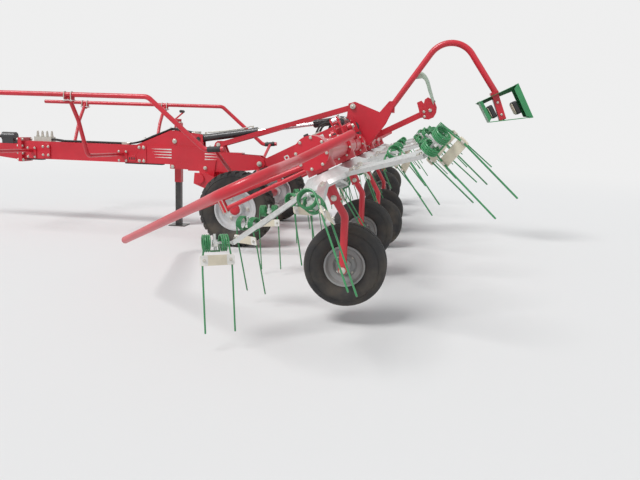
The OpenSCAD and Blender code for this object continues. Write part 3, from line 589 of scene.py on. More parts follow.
# tedder wheel: outlines are measured as on the transport wheel, the ribs from the middle of the tread
fieldWheel = {
    "steps": 80,
    "wall": ((-0.013, -0.030), (0.0, -0.014), (0.012, -0.006), (0.032, 0.0), (0.052, -0.002)),
    "shoulder": ((-0.032, -0.007), (-0.018, -0.016), (-0.008, -0.029), (-0.003, -0.042), (-0.0005, -0.050)),
    "ribs": (0.041, 0.027, 0.013),
    "rib": ((-0.0005, 0.0), (-0.0065, -0.0015), (-0.0065, -0.005), (0.0, -0.0065)),
    "rings": (0.066,),
    "ringWide": 0.005,
    "ringFoot": 0.008,
    "ringTop": 0.0022,
    "rimBolts": (4, 0.063, 0.005),
    "boltFaces": (0.0208, 0.0082),
    "hubEnd": 0.0552,
    "hubRing": ((0.0156, 0.0), (0.0156, 0.004), (0.026, 0.004), (0.031, 0.0)),
    "valveHeight": 0.095,
    "valveFace": 0.040,
    "valveLong": 0.020,
    "valveRadius": 0.0035,
}


# tedder tyres: round shoulders and fine ribs round the tread
def fieldTyre(i):
    values = fieldWheel
    half, radius, rim = plan["tyreHalf"], plan["tyreRadius"], plan["rimRadius"]
    s = outward[i]
    centre = wheelPlace(i, rotorY[i] - s * plan["wheelIn"])
    m = place(centre, (0, s, 0), (1, 0, 0))
    outline = tyreOutline(values, rim, radius, half)
    outline += [(radius + p, y + q) for y in values["ribs"] for p, q in values["rib"]]
    shape = Shape("ribbedTyre_%d" % (i + 1), "tedder_wheel_%d" % (i + 1))
    shape.ring(m, mirrored(outline), "tyreRubber", values["steps"])
    for away in values["rings"]:
        sidewallRing(shape, m, values, rim + away, half)
    shape.done("tedder_tyre_%d" % (i + 1))
    # bolts through the rim, the hub's end and the valve
    hub = Shape("tedderHub_%d" % (i + 1), "tedder_wheel_%d" % (i + 1))
    axis = Vector((0, s, 0))
    count, circle, size = values["rimBolts"]
    front, back = values["boltFaces"]
    for offset in circleOf(count, circle, shift=0.5):
        hub.bolt(centre + axis * front + offset, axis, size)
        hub.bolt(centre - axis * back + offset, -axis, size)
    hub.ring(place(centre + axis * values["hubEnd"], axis), values["hubRing"], "greyRim", 32)
    valve = centre + Vector((0, 0, values["valveHeight"])) + axis * values["valveFace"]
    hub.tube([valve, valve + axis * values["valveLong"]], values["valveRadius"], "blackPlastic", 8)
    hub.done()


def armPlace(i, k):
    # matrix of arm k of rotor i, its X along the arm
    turn = Matrix.Rotation(math.radians(phaseOf[i] + k * 360 / plan["armCount"]), 4, "Z")
    return frameMatrix @ Matrix.Translation((0, rotorY[i], 0)) @ turn


pairPlace = (Matrix.Translation((plan["pairRadius"], 0, plan["pairZ"]))
             @ Matrix.Rotation(math.radians(-plan["tineLean"]), 4, "Y"))

# a pair of tines: places are out from the coil's last turn, in from the coil's radius, and along the tine
tinePair = {
    "turns": 3.75,
    "steps": 75,
    "tine": ((0.002, 0.0, -0.030), (0.008, 0.0, -0.070), (0.011, 0.001, -0.106), (0.0115, 0.003, -0.150)),
    "tip": (0.0115, 0.012, 0.004),
    "tipThin": 0.7,
    "plateZ": -0.087,
    "plate": (0.172, 0.052, 0.006),
    "plateThick": 0.0064,
    "sunk": 0.0006,
    "whiteEnd": (0.038, 0.050, 0.004),
    "whiteThick": 0.0016,
    "whiteFace": 0.0060,
    "boltFace": 0.0072,
    "boltY": 0.066,
    "boltSize": 0.0042,
    "clipOut": 0.011,
    "clipRadius": 0.0068,
    "clipHalf": 0.010,
}


# double spring tines of one wire: a tine, its coil, the link, the other coil and its tine
def tinesOf(i):
    values = tinePair
    shape = Shape("springTines_%d" % (i + 1), "rotor_%d" % (i + 1))
    r, gap, wind, wire = plan["coilRadius"], plan["coilGap"], plan["coilLength"], plan["wireRadius"]
    inner, outer = gap / 2 - wind / 2 + wire, gap / 2 + wind / 2 - wire
    steps = values["steps"]
    half = []
    for k in range(steps + 1):
        a = math.radians(-90 - values["turns"] * 360 * k / steps)
        half.append(Vector((inner + (outer - inner) * k / steps, r * math.cos(a), r * math.sin(a))))
    half += [Vector((outer + x, r - y, z)) for x, y, z in values["tine"]]
    x, y, tip = values["tip"]
    half += [Vector((outer + x, r - y, z - plan["tineLength"])) for z in (tip, 0.0)]
    path = [Vector((-p[0], p[1], p[2])) for p in reversed(half)] + half
    sizes = [wire] * len(path)
    sizes[0] = sizes[-1] = wire * values["tipThin"]
    for k in range(plan["armCount"]):
        m = armPlace(i, k) @ pairPlace
        shape.tube([m @ p for p in path], sizes, "tineGreen", 8)
        # plate that joins the two tines, its ends white, with a clamp bolt at each tine
        plate = (m @ Matrix.Translation((0, r + wire - values["sunk"], values["plateZ"]))
                 @ Matrix.Rotation(math.radians(-90), 4, "X"))
        shape.slab(plate, rectangle(*values["plate"]), values["plateThick"], "creamPlate")
        for e in (-1, 1):
            white = plate @ Matrix.Translation((e * values["boltY"], 0, values["whiteFace"]))
            shape.slab(white, rectangle(*values["whiteEnd"]), values["whiteThick"], "whitePlate", 0.0006)
            head = plate @ Vector((e * values["boltY"], 0.0, values["boltFace"]))
            shape.bolt(head, m.to_3x3() @ Vector((0, 1, 0)), values["boltSize"])
            # clip round the tine behind the plate
            clip = m @ Vector((e * (outer + values["clipOut"]), r, values["plateZ"]))
            reach = m.to_3x3() @ Vector((0, 0, values["clipHalf"]))
            shape.tube([clip - reach, clip + reach], values["clipRadius"], "zincBolt", 10)
    shape.done("rotor_tines_%d" % (i + 1))


# fixings of an arm, measured along it from its root on the hub
armFixings = {
    "root": 0.130,
    "endBack": 0.096,
    "face": 0.0112,
    "hubBolts": (0.045, 0.085),
    "hubBoltSize": 0.0065,
    "clampX": 0.452,
    "clampY": 0.014,
    "clampSize": 0.0045,
    "spacer": (0.030, 0.046, 0.006),
    "spacerThick": 0.012,
    "spacerZ": -0.0185,
}


# bolts that hold the arms on the hub, and the clamp bolts and spacer of each tine pair
def armBolts(i):
    values = armFixings
    shape = Shape("armBolts_%d" % (i + 1), "rotor_%d" % (i + 1))
    lean = math.radians(plan["tineLean"])
    endX = plan["pairRadius"] - values["endBack"] * math.cos(lean)
    endZ = plan["pairZ"] - values["endBack"] * math.sin(lean)
    slope = math.atan((plan["armZ"] - endZ) / (endX - values["root"]))
    for k in range(plan["armCount"]):
        base = armPlace(i, k)
        arm = base @ Matrix.Translation((values["root"], 0, plan["armZ"])) @ Matrix.Rotation(slope, 4, "Y")
        up = arm.to_3x3() @ Vector((0, 0, 1))
        for x in values["hubBolts"]:
            shape.bolt(arm @ Vector((x, 0, values["face"])), up, values["hubBoltSize"])
        for e in (-1, 1):
            clamp = arm @ Vector((values["clampX"], e * values["clampY"], values["face"]))
            shape.bolt(clamp, up, values["clampSize"])
        # pale spacer between the two coils, on the tongue
        spacer = base @ pairPlace @ Matrix.Translation((0, 0, values["spacerZ"]))
        shape.slab(spacer, rectangle(*values["spacer"]), values["spacerThick"], "whitePlate")
    shape.done()


# U-bolts over the guard bows and the rails: heights are down from the bar's middle
bowClamp = {"radius": 0.0265, "leg": 0.130, "nut": 0.121, "rod": 0.005, "thread": 0.0055, "steps": 10}
railClamp = {"radius": 0.026, "leg": 0.062, "nut": 0.052, "rod": 0.0048, "thread": 0.0052, "steps": 12}


def uBolt(shape, values, at, down):
    # bent rod over a bar with a nut on each leg; `at` gives the place for a distance across and a height
    r, steps = values["radius"], values["steps"]
    arc = [math.pi * k / steps for k in range(steps + 1)]
    path = [at(r * math.cos(a), r * math.sin(a)) for a in arc]
    shape.tube([at(r, -values["leg"])] + path + [at(-r, -values["leg"])], values["rod"], "zincBolt", 8)
    for e in (-1, 1):
        shape.bolt(at(e * r, -values["nut"]), down, values["thread"])


# fixings of the tedder frame, in its tilted axes; faces are out from the middle of what they sit on
frameFixings = {
    "legBolt": 0.008,
    "legStud": 0.006,
    "legBoltZ": -0.262,
    "legBoltFace": 0.0322,
    "collarZ": -0.289,
    "collar": ((0.0205, 0.0), (0.0205, 0.008), (0.0345, 0.008), (0.0345, 0.0)),
    "housingBolts": (8, 0.081, 0.0042),
    "housingFace": 0.0952,
    "plug": 0.009,
    "plugZ": 0.0925,
    "axleNut": 0.009,
    "axleNutFace": 0.0245,
    "hubNut": 0.007,
    "hubNutFace": 0.060,
    "bowClampX": (-1.183, -1.152),
    "bowZ": 0.044,
    "foldPinHead": 0.010,
    "foldPinX": 0.0955,
    "foldPinZ": 0.130,
    "headPins": ((0.970, 1.338), (0.9302, 1.0003)),
    "headPinFace": 0.1250,
    "headPin": ((0.020, 0.010), (0.027, 0.008), (0.029, 0.0), (0.029, -0.004)),
    "headBolt": 0.006,
    "headBoltFace": 0.1345,
}


# bolts and collar of each wheel leg, bolt rings of the gear housings, clamps of the bows and ends of the pins
def frameBolts():
    values = frameFixings
    for body, s in (("wing_left", -1), ("centre_section", 0), ("wing_right", 1)):
        shape = Shape("frameBolts_" + body, body)
        for i in range(6):
            if sectionOf[i] != body:
                continue
            y, out = rotorY[i], outward[i]
            for e in (-1, 1):
                leg = framePlace(0, y + e * values["legBoltFace"], values["legBoltZ"])
                shape.bolt(leg, (0, e, 0), values["legBolt"], stud=values["legStud"] if e > 0 else 0.0)
            shape.ring(place(framePlace(0, y, values["collarZ"]), frameUp), values["collar"], "redPaint", 32)
            count, circle, size = values["housingBolts"]
            for e in (-1, 1):
                for offset in circleOf(count, circle, shift=0.5):
                    shape.bolt(framePlace(offset.x, y + e * values["housingFace"], offset.z), (0, e, 0), size)
            # oil plug on the housing, then the nuts that hold the wheel's stub axle and its hub
            shape.bolt(framePlace(0, y, values["plugZ"]), frameUp, values["plug"], "blackPaint")
            shape.bolt(wheelPlace(i, y + out * values["axleNutFace"]), (0, out, 0), values["axleNut"])
            hubEnd = wheelPlace(i, y - out * (plan["wheelIn"] + values["hubNutFace"]))
            shape.bolt(hubEnd, (0, -out, 0), values["hubNut"])
        if s:
            # U-bolts that clamp the guard bow's inner run to its support arm
            for u in values["bowClampX"]:
                at = lambda across, up: framePlace(u, s * (plan["bowY"] + across), values["bowZ"] + up)
                uBolt(shape, bowClamp, at, -frameUp)
        else:
            # ends of the fold hinges' pins, and of the pins in the headstock
            for e in (-1, 1):
                for x in (-1, 1):
                    pin = framePlace(x * values["foldPinX"], e * plan["rotorGap"], values["foldPinZ"])
                    shape.bolt(pin, frameBack * x, values["foldPinHead"])
                for x, z in values["headPins"]:
                    head = place(fromAxle(x, e * values["headPinFace"], z), (0, e, 0))
                    shape.lathe(head, values["headPin"], "zincBolt", 28)
                    shape.bolt(fromAxle(x, e * values["headBoltFace"], z), (0, e, 0), values["headBolt"])
        shape.done()


# blank plates on the side boxes: place along, height, length, width; the short ones have a red middle
labelPlates = {
    "face": 0.3302,
    "plates": ((-0.415, 0.196, 0.285, 0.062), (-0.700, 0.168, 0.048, 0.046), (-0.172, 0.168, 0.048, 0.046)),
    "shortest": 0.1,
    "middle": (0.55, 0.5),
}
# pale tapered stripes on the drawbar; a group has two ends, a distance out, a drop, and +1 for a thin front
stripes = {
    "count": 4,
    "topZ": 0.836,
    "pitch": 0.029,
    "groups": ((-1.165, -0.945, 0.0650, 0.0, 1), (-0.575, -0.425, 0.0770, 0.030, -1)),
    "shorter": 0.012,
    "thin": 0.0008,
    "wide": 0.0065,
}


def labels():
    shape = Shape("labelPlates", "centre_section")
    for s in (-1, 1):
        for u, w, long, high in labelPlates["plates"]:
            m = place(framePlace(u, s * labelPlates["face"], w), (0, s, 0), frameBack)
            shape.slab(m, rectangle(long, high, 0.004), 0.0012, "whitePlate", 0.0004)
            if long < labelPlates["shortest"]:
                middle = rectangle(long * labelPlates["middle"][0], high * labelPlates["middle"][1], 0.002)
                shape.slab(m @ Matrix.Translation((0, 0, 0.001)), middle, 0.0006, "redPaint", 0.0002)
    shape.done()
    shape = Shape("paleStripes", "chassis")
    thin, wide = stripes["thin"], stripes["wide"]
    for s in (-1, 1):
        for k in range(stripes["count"]):
            for x0, x1, y, drop, way in stripes["groups"]:
                z = stripes["topZ"] - k * stripes["pitch"] - drop
                cut = stripes["shorter"] * k
                x0, x1 = (x0 + cut, x1) if way > 0 else (x0, x1 - cut)
                a, b = (thin, wide) if way > 0 else (wide, thin)
                outline = [(x0, z - a), (x1, z - b), (x1, z + b), (x0, z + a)]
                shape.slab(sidePlane(s * y, s), outline, 0.0010, "whitePlate", 0.0002)
    shape.done()


# fixings of the drawbar: places along it are from the axle, faces are out from the bar's side
barFixings = {
    "gussetBolt": 0.008,
    "gussetBoltX": (-1.303, -1.253),
    "gussetBoltZ": (0.704, 0.846),
    "gussetBoltFace": 0.0072,
    "lowPins": ((-0.930, 0.0075), (-0.565, 0.0245)),
    "lowPinZ": 0.658,
    "lowPin": ((0.014, 0.014), (0.019, 0.012), (0.020, 0.0), (0.020, -0.003)),
    "gussetPin": (-0.915, 0.925),
    "gussetPinFace": 0.0502,
    "gussetPinHead": ((0.018, 0.012), (0.024, 0.009), (0.026, 0.0), (0.026, -0.003)),
    "gussetPinBolt": 0.006,
    "gussetPinEnd": 0.0620,
    "frontPlate": (-2.370, 0.770),
    "frontPlateSize": (0.100, 0.150, 0.010),
    "frontPlateThick": 0.013,
    "frontBolt": 0.007,
    "frontX": (-2.400, -2.340),
    "frontZ": (0.725, 0.815),
    "supportBolt": 0.0065,
    "supportReach": 0.040,
    "supportZ": (0.700, 0.796),
    "supportFace": 0.0102,
    "clampReach": 0.033,
    "clampPlateDrop": 0.053,
    "clampPlate": (0.104, 0.076, 0.008),
    "clampPlateThick": 0.006,
    "slotPlate": (-1.385, 0.726),
    "slotPlateSize": (0.088, 0.060, 0.010),
    "slotPlateThick": 0.010,
    "slotX": (-0.025, 0.0, 0.025),
    "slotSize": (0.014, 0.030, 0.005),
    "slotFace": 0.0094,
    "slotThick": 0.0012,
    "flangeBolt": 0.0085,
    "flangeStud": 0.008,
    "flangeY": 0.083,
    "flangeZ": (0.665, 0.735, 0.815, 0.885),
    "flangeFaces": (0.0022, 0.0402),
    "railGrip": ((-0.205, 0.8925), (-0.085, 0.903)),
    "railGripShares": (0.0, 0.04, 0.96, 1.0),
    "railGripSizes": (0.0225, 0.0255, 0.0255, 0.0225),
    "gripBolts": (0.2, 0.8),
    "gripBolt": 0.005,
    "gripBoltRise": 0.0252,
    "railEndX": -3.0798,
    "railPlug": ((0.016, 0.004), (0.021, 0.002), (0.0218, -0.001)),
    "wearStrips": ((-1.48, -1.06), (-2.62, -2.44)),
    "wearWide": 0.080,
    "wearThick": 0.014,
    "seat": 0.0002,
}


# what is bolted and clipped along the chassis
def chassisFittings():
    values = barFixings
    shape = Shape("chassisBolts", "chassis")
    half, railY, railZ = plan["barHalf"], plan["railY"], plan["railZ"]
    for s in (-1, 1):
        out = (0, s, 0)
        for x in values["gussetBoltX"]:
            for z in values["gussetBoltZ"]:
                shape.bolt(fromAxle(x, s * (half + values["gussetBoltFace"]), z), out, values["gussetBolt"])
        for x, face in values["lowPins"]:
            pin = place(fromAxle(x, s * (half + face), values["lowPinZ"]), out)
            shape.lathe(pin, values["lowPin"], "zincBolt", 24)
        # pin through the top of the gusset
        x, z = values["gussetPin"]
        pin = place(fromAxle(x, s * values["gussetPinFace"], z), out)
        shape.lathe(pin, values["gussetPinHead"], "zincBolt", 28)
        shape.bolt(fromAxle(x, s * values["gussetPinEnd"], z), out, values["gussetPinBolt"])
        # bolted plate below the valve block
        for x in values["frontX"]:
            for z in values["frontZ"]:
                face = s * (half + values["seat"] + values["frontPlateThick"])
                shape.bolt(fromAxle(x, face, z), out, values["frontBolt"])
        x, z = values["frontPlate"]
        m = place(fromAxle(x, s * (half + values["seat"]), z), out, (1, 0, 0))
        shape.slab(m, rectangle(*values["frontPlateSize"]), values["frontPlateThick"], "redPaint")
        for x in plan["supportX"]:
            for e in (-1, 1):
                for z in values["supportZ"]:
                    face = s * (half + values["supportFace"])
                    foot = fromAxle(x + e * values["supportReach"], face, z)
                    shape.bolt(foot, out, values["supportBolt"])
            # two U-bolts over the rail
            for e in (-1, 1):
                clampX = x + e * values["clampReach"]
                at = lambda across, up: fromAxle(clampX, s * railY + across, railZ + up)
                uBolt(shape, railClamp, at, (0, 0, -1))
            m = flatPlace(x, s * railY, railZ - values["clampPlateDrop"])
            shape.slab(m, rectangle(*values["clampPlate"]), values["clampPlateThick"], "galvanised")
        # slotted plate behind the rear support's foot
        x, z = values["slotPlate"]
        m = place(fromAxle(x, s * (half + values["seat"]), z), out, (1, 0, 0))
        shape.slab(m, rectangle(*values["slotPlateSize"]), values["slotPlateThick"], "redPaint")
        for x in values["slotX"]:
            slot = m @ Matrix.Translation((x, 0, values["slotFace"]))
            shape.slab(slot, rectangle(*values["slotSize"]), values["slotThick"], "blackPaint", 0.0003)
        # flange bolts, their heads behind and their nuts in front
        behind, ahead = values["flangeFaces"]
        for z in values["flangeZ"]:
            y = s * values["flangeY"]
            size, stud = values["flangeBolt"], values["flangeStud"]
            shape.bolt(fromAxle(plan["flangeX"] + behind, y, z), (1, 0, 0), size)
            shape.bolt(fromAxle(plan["flangeX"] - ahead, y, z), (-1, 0, 0), size, stud=stud)
        # black clamp where the rail comes down
        a, b = (fromAxle(x, s * railY, z) for x, z in values["railGrip"])
        grip = [a.lerp(b, t) for t in values["railGripShares"]]
        shape.tube(grip, values["railGripSizes"], "blackPlastic", 24)
        for t in values["gripBolts"]:
            head = a.lerp(b, t) + Vector((0, 0, values["gripBoltRise"]))
            shape.bolt(head, (0, 0, 1), values["gripBolt"])
        # end plug of the rail's front
        end = place(fromAxle(values["railEndX"], s * railY, railZ), (-1, 0, 0))
        shape.lathe(end, values["railPlug"], "blackPlastic", 24)
    # dark wear strips under the bar
    for x0, x1 in values["wearStrips"]:
        m = place(fromAxle((x0 + x1) / 2, 0, plan["barBottom"] - values["seat"]), (0, 0, -1), (1, 0, 0))
        shape.slab(m, rectangle(x1 - x0, values["wearWide"], 0.006), values["wearThick"], "blackPlastic")
    shape.done()


# hoses on the drawbar. A point of their path has its place along, the share of the hose's own place across, its
# height over the bar's top, and how much of the hose's wave goes sideways and up
barHoses = {
    "across": (-0.027, -0.009, 0.009, 0.027),
    "wave": 0.004,
    "path": ((-1.446, 0.8, 0.014, 0, 0), (-1.400, 1, 0.016, 0, 0), (-1.300, 1, 0.040, 1, 0),
             (-1.180, 1, 0.092, 0, 1), (-1.050, 1, 0.146, -1, 0), (-0.960, 1, 0.180, 0, 1),
             (-0.860, 1, 0.176, 0, 0), (-0.760, 0.9, 0.158, 0, 0), (-0.712, 0.9, 0.150, 0, 0)),
    "radius": 0.0085,
    "end": ((0.0085, 0.036), (0.0105, 0.033), (0.0105, 0.016), (0.0118, 0.015), (0.0118, 0.0)),
    "endOut": 0.012,
    "clips": ((-1.245, 0.0730), (-0.955, 0.1915)),
    "clipSize": (0.030, 0.110, 0.004),
    "clipThick": 0.004,
    "clipBoltY": 0.046,
    "clipBolt": 0.0045,
    "manifold": (-0.678, 0.132),
    "manifoldSize": (0.056, 0.072, 0.006),
    "manifoldThick": 0.034,
    "couplingX": (-2.500, -2.445, -2.390, -2.335),
    "coupling": ((0.006, 0.034), (0.009, 0.031), (0.009, 0.018), (0.0125, 0.017), (0.0125, 0.0)),
    "couplingZ": 0.080,
    "nut": ((0.0155, 0.012), (0.018, 0.010), (0.018, 0.0)),
    "nutZ": 0.052,
}
# hoses on the tedder frame, in its tilted axes, with the block that they leave and the one that they reach
frameHoses = {
    "runs": (
        ((-0.330, -0.265, 0.248), (-0.230, -0.245, 0.300), (-0.100, -0.180, 0.275), (0.000, -0.150, 0.165),
         (0.010, -0.230, 0.098)),
        ((-0.330, -0.235, 0.240), (-0.200, -0.215, 0.330), (-0.060, -0.160, 0.300), (0.060, -0.165, 0.180),
         (0.040, -0.300, 0.095)),
        ((-0.300, 0.265, 0.248), (-0.200, 0.245, 0.310), (-0.080, 0.180, 0.290), (0.010, 0.150, 0.170),
         (0.010, 0.230, 0.098)),
        ((-0.300, 0.235, 0.240), (-0.180, 0.215, 0.335), (-0.040, 0.160, 0.305), (0.070, 0.165, 0.180),
         (0.040, 0.300, 0.095)),
        ((-0.360, -0.280, 0.245), (-0.250, -0.290, 0.315), (-0.110, -0.330, 0.270), (-0.030, -0.360, 0.160),
         (-0.020, -0.380, 0.090))),
    "radius": 0.0095,
    "end": ((0.0095, 0.034), (0.0118, 0.031), (0.0118, 0.012), (0.0135, 0.011), (0.0135, -0.004)),
    "blockY": 0.262,
    "blocks": ((-0.335, 0.236, (0.090, 0.080, 0.008), 0.030, "zincBolt"),
               (0.010, 0.066, (0.110, 0.140, 0.010), 0.034, "blackPaint")),
}


# hydraulic hoses clipped along the drawbar up to the manifold on the gusset, and those tied to the tedder frame
def hoses():
    values, top = barHoses, plan["barTop"]
    shape = Shape("clippedHoses", "chassis")
    for k, y in enumerate(values["across"]):
        wave = values["wave"] * (1 if k % 2 else -1)
        path = smoothPath([fromAxle(x, y * share + wave * sway, top + z + wave * rise)
                           for x, share, z, sway, rise in values["path"]])
        shape.tube(path, values["radius"], "hoseRubber", 10)
        for end, way in ((path[0], -1), (path[-1], 1)):
            m = place(end + Vector((way * values["endOut"], 0, 0)), (-way, 0, 0))
            shape.lathe(m, values["end"], "zincBolt", 12)
    # clips across the hoses
    for x, z in values["clips"]:
        thick = values["clipThick"]
        shape.slab(flatPlace(x, 0, top + z), rectangle(*values["clipSize"]), thick, "galvanised")
        for e in (-1, 1):
            shape.bolt(fromAxle(x, e * values["clipBoltY"], top + z + thick), (0, 0, 1), values["clipBolt"])
    # manifold on the gusset, where the hoses end
    x, z = values["manifold"]
    m, thick = flatPlace(x, 0, top + z), values["manifoldThick"]
    shape.slab(m, rectangle(*values["manifoldSize"]), thick, "zincBolt", 0.003)
    # couplings on the block at the front
    for x in values["couplingX"]:
        shape.lathe(place(fromAxle(x, 0, top + values["couplingZ"])), values["coupling"], "zincBolt", 16)
        shape.lathe(place(fromAxle(x, 0, top + values["nutZ"])), values["nut"], "zincBolt", 6)
    shape.done()
    values = frameHoses
    shape = Shape("frameHoses", "centre_section")
    for run in values["runs"]:
        path = smoothPath([framePlace(*p) for p in run], 8)
        shape.tube(path, values["radius"], "hoseRubber", 10)
        for a, b in ((path[0], path[1]), (path[-1], path[-2])):
            shape.lathe(place(a, b - a), values["end"], "zincBolt", 12)
    for s in (-1, 1):
        for u, w, size, thick, finish in values["blocks"]:
            m = place(framePlace(u, s * values["blockY"], w), frameUp, frameBack)
            shape.slab(m, rectangle(*size), thick, finish, 0.003)
    shape.done()


liftPort = ((0.008, 0.026), (0.012, 0.022), (0.012, 0.010), (0.015, 0.009), (0.015, -0.003))
# what a cylinder wears, measured along it from its foot and out from its middle
liftBarrel = {
    "foot": (-0.654, 0.960),
    "bands": (0.030, 0.612),
    "band": (0.0378, 0.042, 0.027, 40),
    "ports": (0.075, 0.590),
    "portOut": 0.036,
    "port": liftPort,
    "pipe": ((0.590, 0.056), (0.560, 0.058), (0.520, 0.050), (0.46, 0.0465), (0.35, 0.0465), (0.24, 0.0465),
             (0.130, 0.052), (0.095, 0.058)),
    "pipeRadius": 0.0062,
    "glandZ": 0.640,
    "gland": ((0.0205, 0.0), (0.0205, 0.008), (0.033, 0.006), (0.035, 0.0)),
}
rearSleeve = {
    "foot": (0.904997, 1.208015),
    "bands": (-0.3395, -0.068),
    "band": (0.0390, 0.0425, 0.026, 48),
    "ports": (-0.3005, -0.089),
    "portOut": 0.037,
    "port": liftPort,
    "sleeve": ((0.0379, -0.3455), (0.0379, -0.034), (0.0392, -0.034), (0.0392, -0.3445), (0.0385, -0.3455)),
    "cap": ((0.0203, -0.3515), (0.0203, -0.3458), (0.034, -0.3458), (0.032, -0.3515)),
}
foldBarrel = {
    "footY": 0.420,
    "bands": (0.050, 0.612),
    "band": (0.0298, 0.033, 0.026, 36),
    "ports": (0.085, 0.595),
    "portOut": 0.029,
    "port": ((0.007, 0.022), (0.010, 0.019), (0.010, 0.009), (0.013, 0.008), (0.013, -0.003)),
    "pipe": ((0.595, 0.046), (0.560, 0.048), (0.500, 0.040), (0.300, 0.0375), (0.150, 0.040), (0.100, 0.048)),
    "pipeRadius": 0.0055,
}


def dressBarrel(shape, values, foot, along, up):
    # bands round a barrel, its ports, and the pressure pipe along it
    m = place(foot, along)
    inner, outer, long, sides = values["band"]
    for z in values["bands"]:
        rows = [(inner, z), (inner, z + long), (outer, z + long - 0.002), (outer + 0.0005, z + 0.002)]
        shape.ring(m, rows, "blackPaint", sides)
    for z in values["ports"]:
        shape.lathe(place(foot + along * z + up * values["portOut"], up), values["port"], "zincBolt", 6)
    if "pipe" in values:
        path = smoothPath([foot + along * z + up * out for z, out in values["pipe"]])
        shape.tube(path, values["pipeRadius"], "zincBolt", 10)
    return m


# lift and fold cylinders: bands, ports and pipes
def cylinderPieces():
    foot, eye = (fromAxle(x, 0, z) for x, z in (liftBarrel["foot"], rearSleeve["foot"]))
    along = (eye - foot).normalized()
    up = along.cross(sideways)
    shape = Shape("liftBarrelPieces", "lift_cylinder_barrel")
    dressBarrel(shape, liftBarrel, foot, along, up)
    shape.ring(place(foot + along * liftBarrel["glandZ"], along), liftBarrel["gland"], "zincBolt", 32)
    shape.done()
    shape = Shape("rearBarrelSleeve", "lift_cylinder_rod")
    m = dressBarrel(shape, rearSleeve, eye, along, up)
    shape.ring(m, rearSleeve["sleeve"], "blackPaint", 48)
    shape.ring(m, rearSleeve["cap"], "zincBolt", 36)
    shape.done()
    for side, s in sides.items():
        shape = Shape("foldBarrelPieces_" + side, "fold_barrel_" + side)
        foot = framePlace(0, s * foldBarrel["footY"], plan["foldPin"])
        dressBarrel(shape, foldBarrel, foot, sideways * s, frameUp)
        shape.done()


# jack: grip of its crank, cap, scale strip and the bolts of its plate
jackFixings = {
    "place": (-0.930, 0.115),
    "gripX": 0.115,
    "gripZ": 1.236,
    "gripY": (-0.165, -0.170, -0.258, -0.262),
    "gripSizes": (0.012, 0.0145, 0.0145, 0.012),
    "capZ": 1.1195,
    "cap": ((0.030, 0.014), (0.036, 0.010), (0.038, 0.0)),
    "scaleFace": 0.0358,
    "scaleZ": 0.985,
    "scale": (0.030, 0.210, 0.004),
    "scaleThick": 0.003,
    "bolt": 0.006,
    "boltX": (-0.045, 0.045),
    "boltZ": (0.715, 0.805),
    "boltY": 0.081,
}
# pin ends of the lift, on each side of the body that carries them
liftPins = {
    "lift_arm": {
        "piece": "liftArmPins", "place": (0.015, 0.724), "face": 0.0968, "collarFace": 0.0785,
        "head": ((0.012, 0.007), (0.019, 0.005), (0.0205, 0.0), (0.0205, -0.002)),
        "collar": ((0.0202, 0.0), (0.0202, 0.0165), (0.026, 0.0155), (0.028, 0.0))},
    "upper_link": {
        "piece": "upperLinkPins", "place": (-0.426, 0.905), "face": 0.0898,
        "head": ((0.012, 0.008), (0.021, 0.006), (0.0235, 0.0), (0.0235, -0.002))},
}


def smallPieces():
    values = jackFixings
    shape = Shape("jackPieces", "chassis")
    x, y = values["place"]
    grip = [fromAxle(x + values["gripX"], y + dy, values["gripZ"]) for dy in values["gripY"]]
    shape.tube(grip, values["gripSizes"], "blackPlastic", 18)
    shape.lathe(place(fromAxle(x, y, values["capZ"])), values["cap"], "zincBolt", 28)
    m = place(fromAxle(x, y - values["scaleFace"], values["scaleZ"]), (0, -1, 0), (1, 0, 0))
    shape.slab(m, rectangle(*values["scale"]), values["scaleThick"], "galvanised")
    for z in values["boltZ"]:
        for dx in values["boltX"]:
            shape.bolt(fromAxle(x + dx, values["boltY"], z), (0, 1, 0), values["bolt"])
    shape.done()
    for body, values in liftPins.items():
        shape = Shape(values["piece"], body)
        x, z = values["place"]
        for s in (-1, 1):
            if "collar" in values:
                collar = place(fromAxle(x, s * values["collarFace"], z), (0, s, 0))
                shape.ring(collar, values["collar"], "zincBolt", 32)
            shape.lathe(place(fromAxle(x, s * values["face"], z), (0, s, 0)), values["head"], "zincBolt", 28)
        shape.done()


# blank light boxes, and the folded lips on the two legs of the green frame: their foot, head and width
rearLights = {
    "boxes": ((2.360, 1.340), (2.585, 1.385)),
    "facing": (-0.862, 0, -0.507),
    "box": (0.170, 0.130, 0.014),
    "deep": 0.044,
    "lens": (0.150, 0.110, 0.012),
    "lensThick": 0.008,
    "lensZ": 0.0435,
    "lips": (((2.7275, 1.2910), (2.5600, 1.6035), 0.052), ((2.2035, 1.4195), (2.3150, 1.2320), 0.026)),
    "lipY": (-0.0995, 0.0965),
    "lipSeat": 0.004,
    "lipThick": 0.003,
    "lipTaper": 0.6,
}


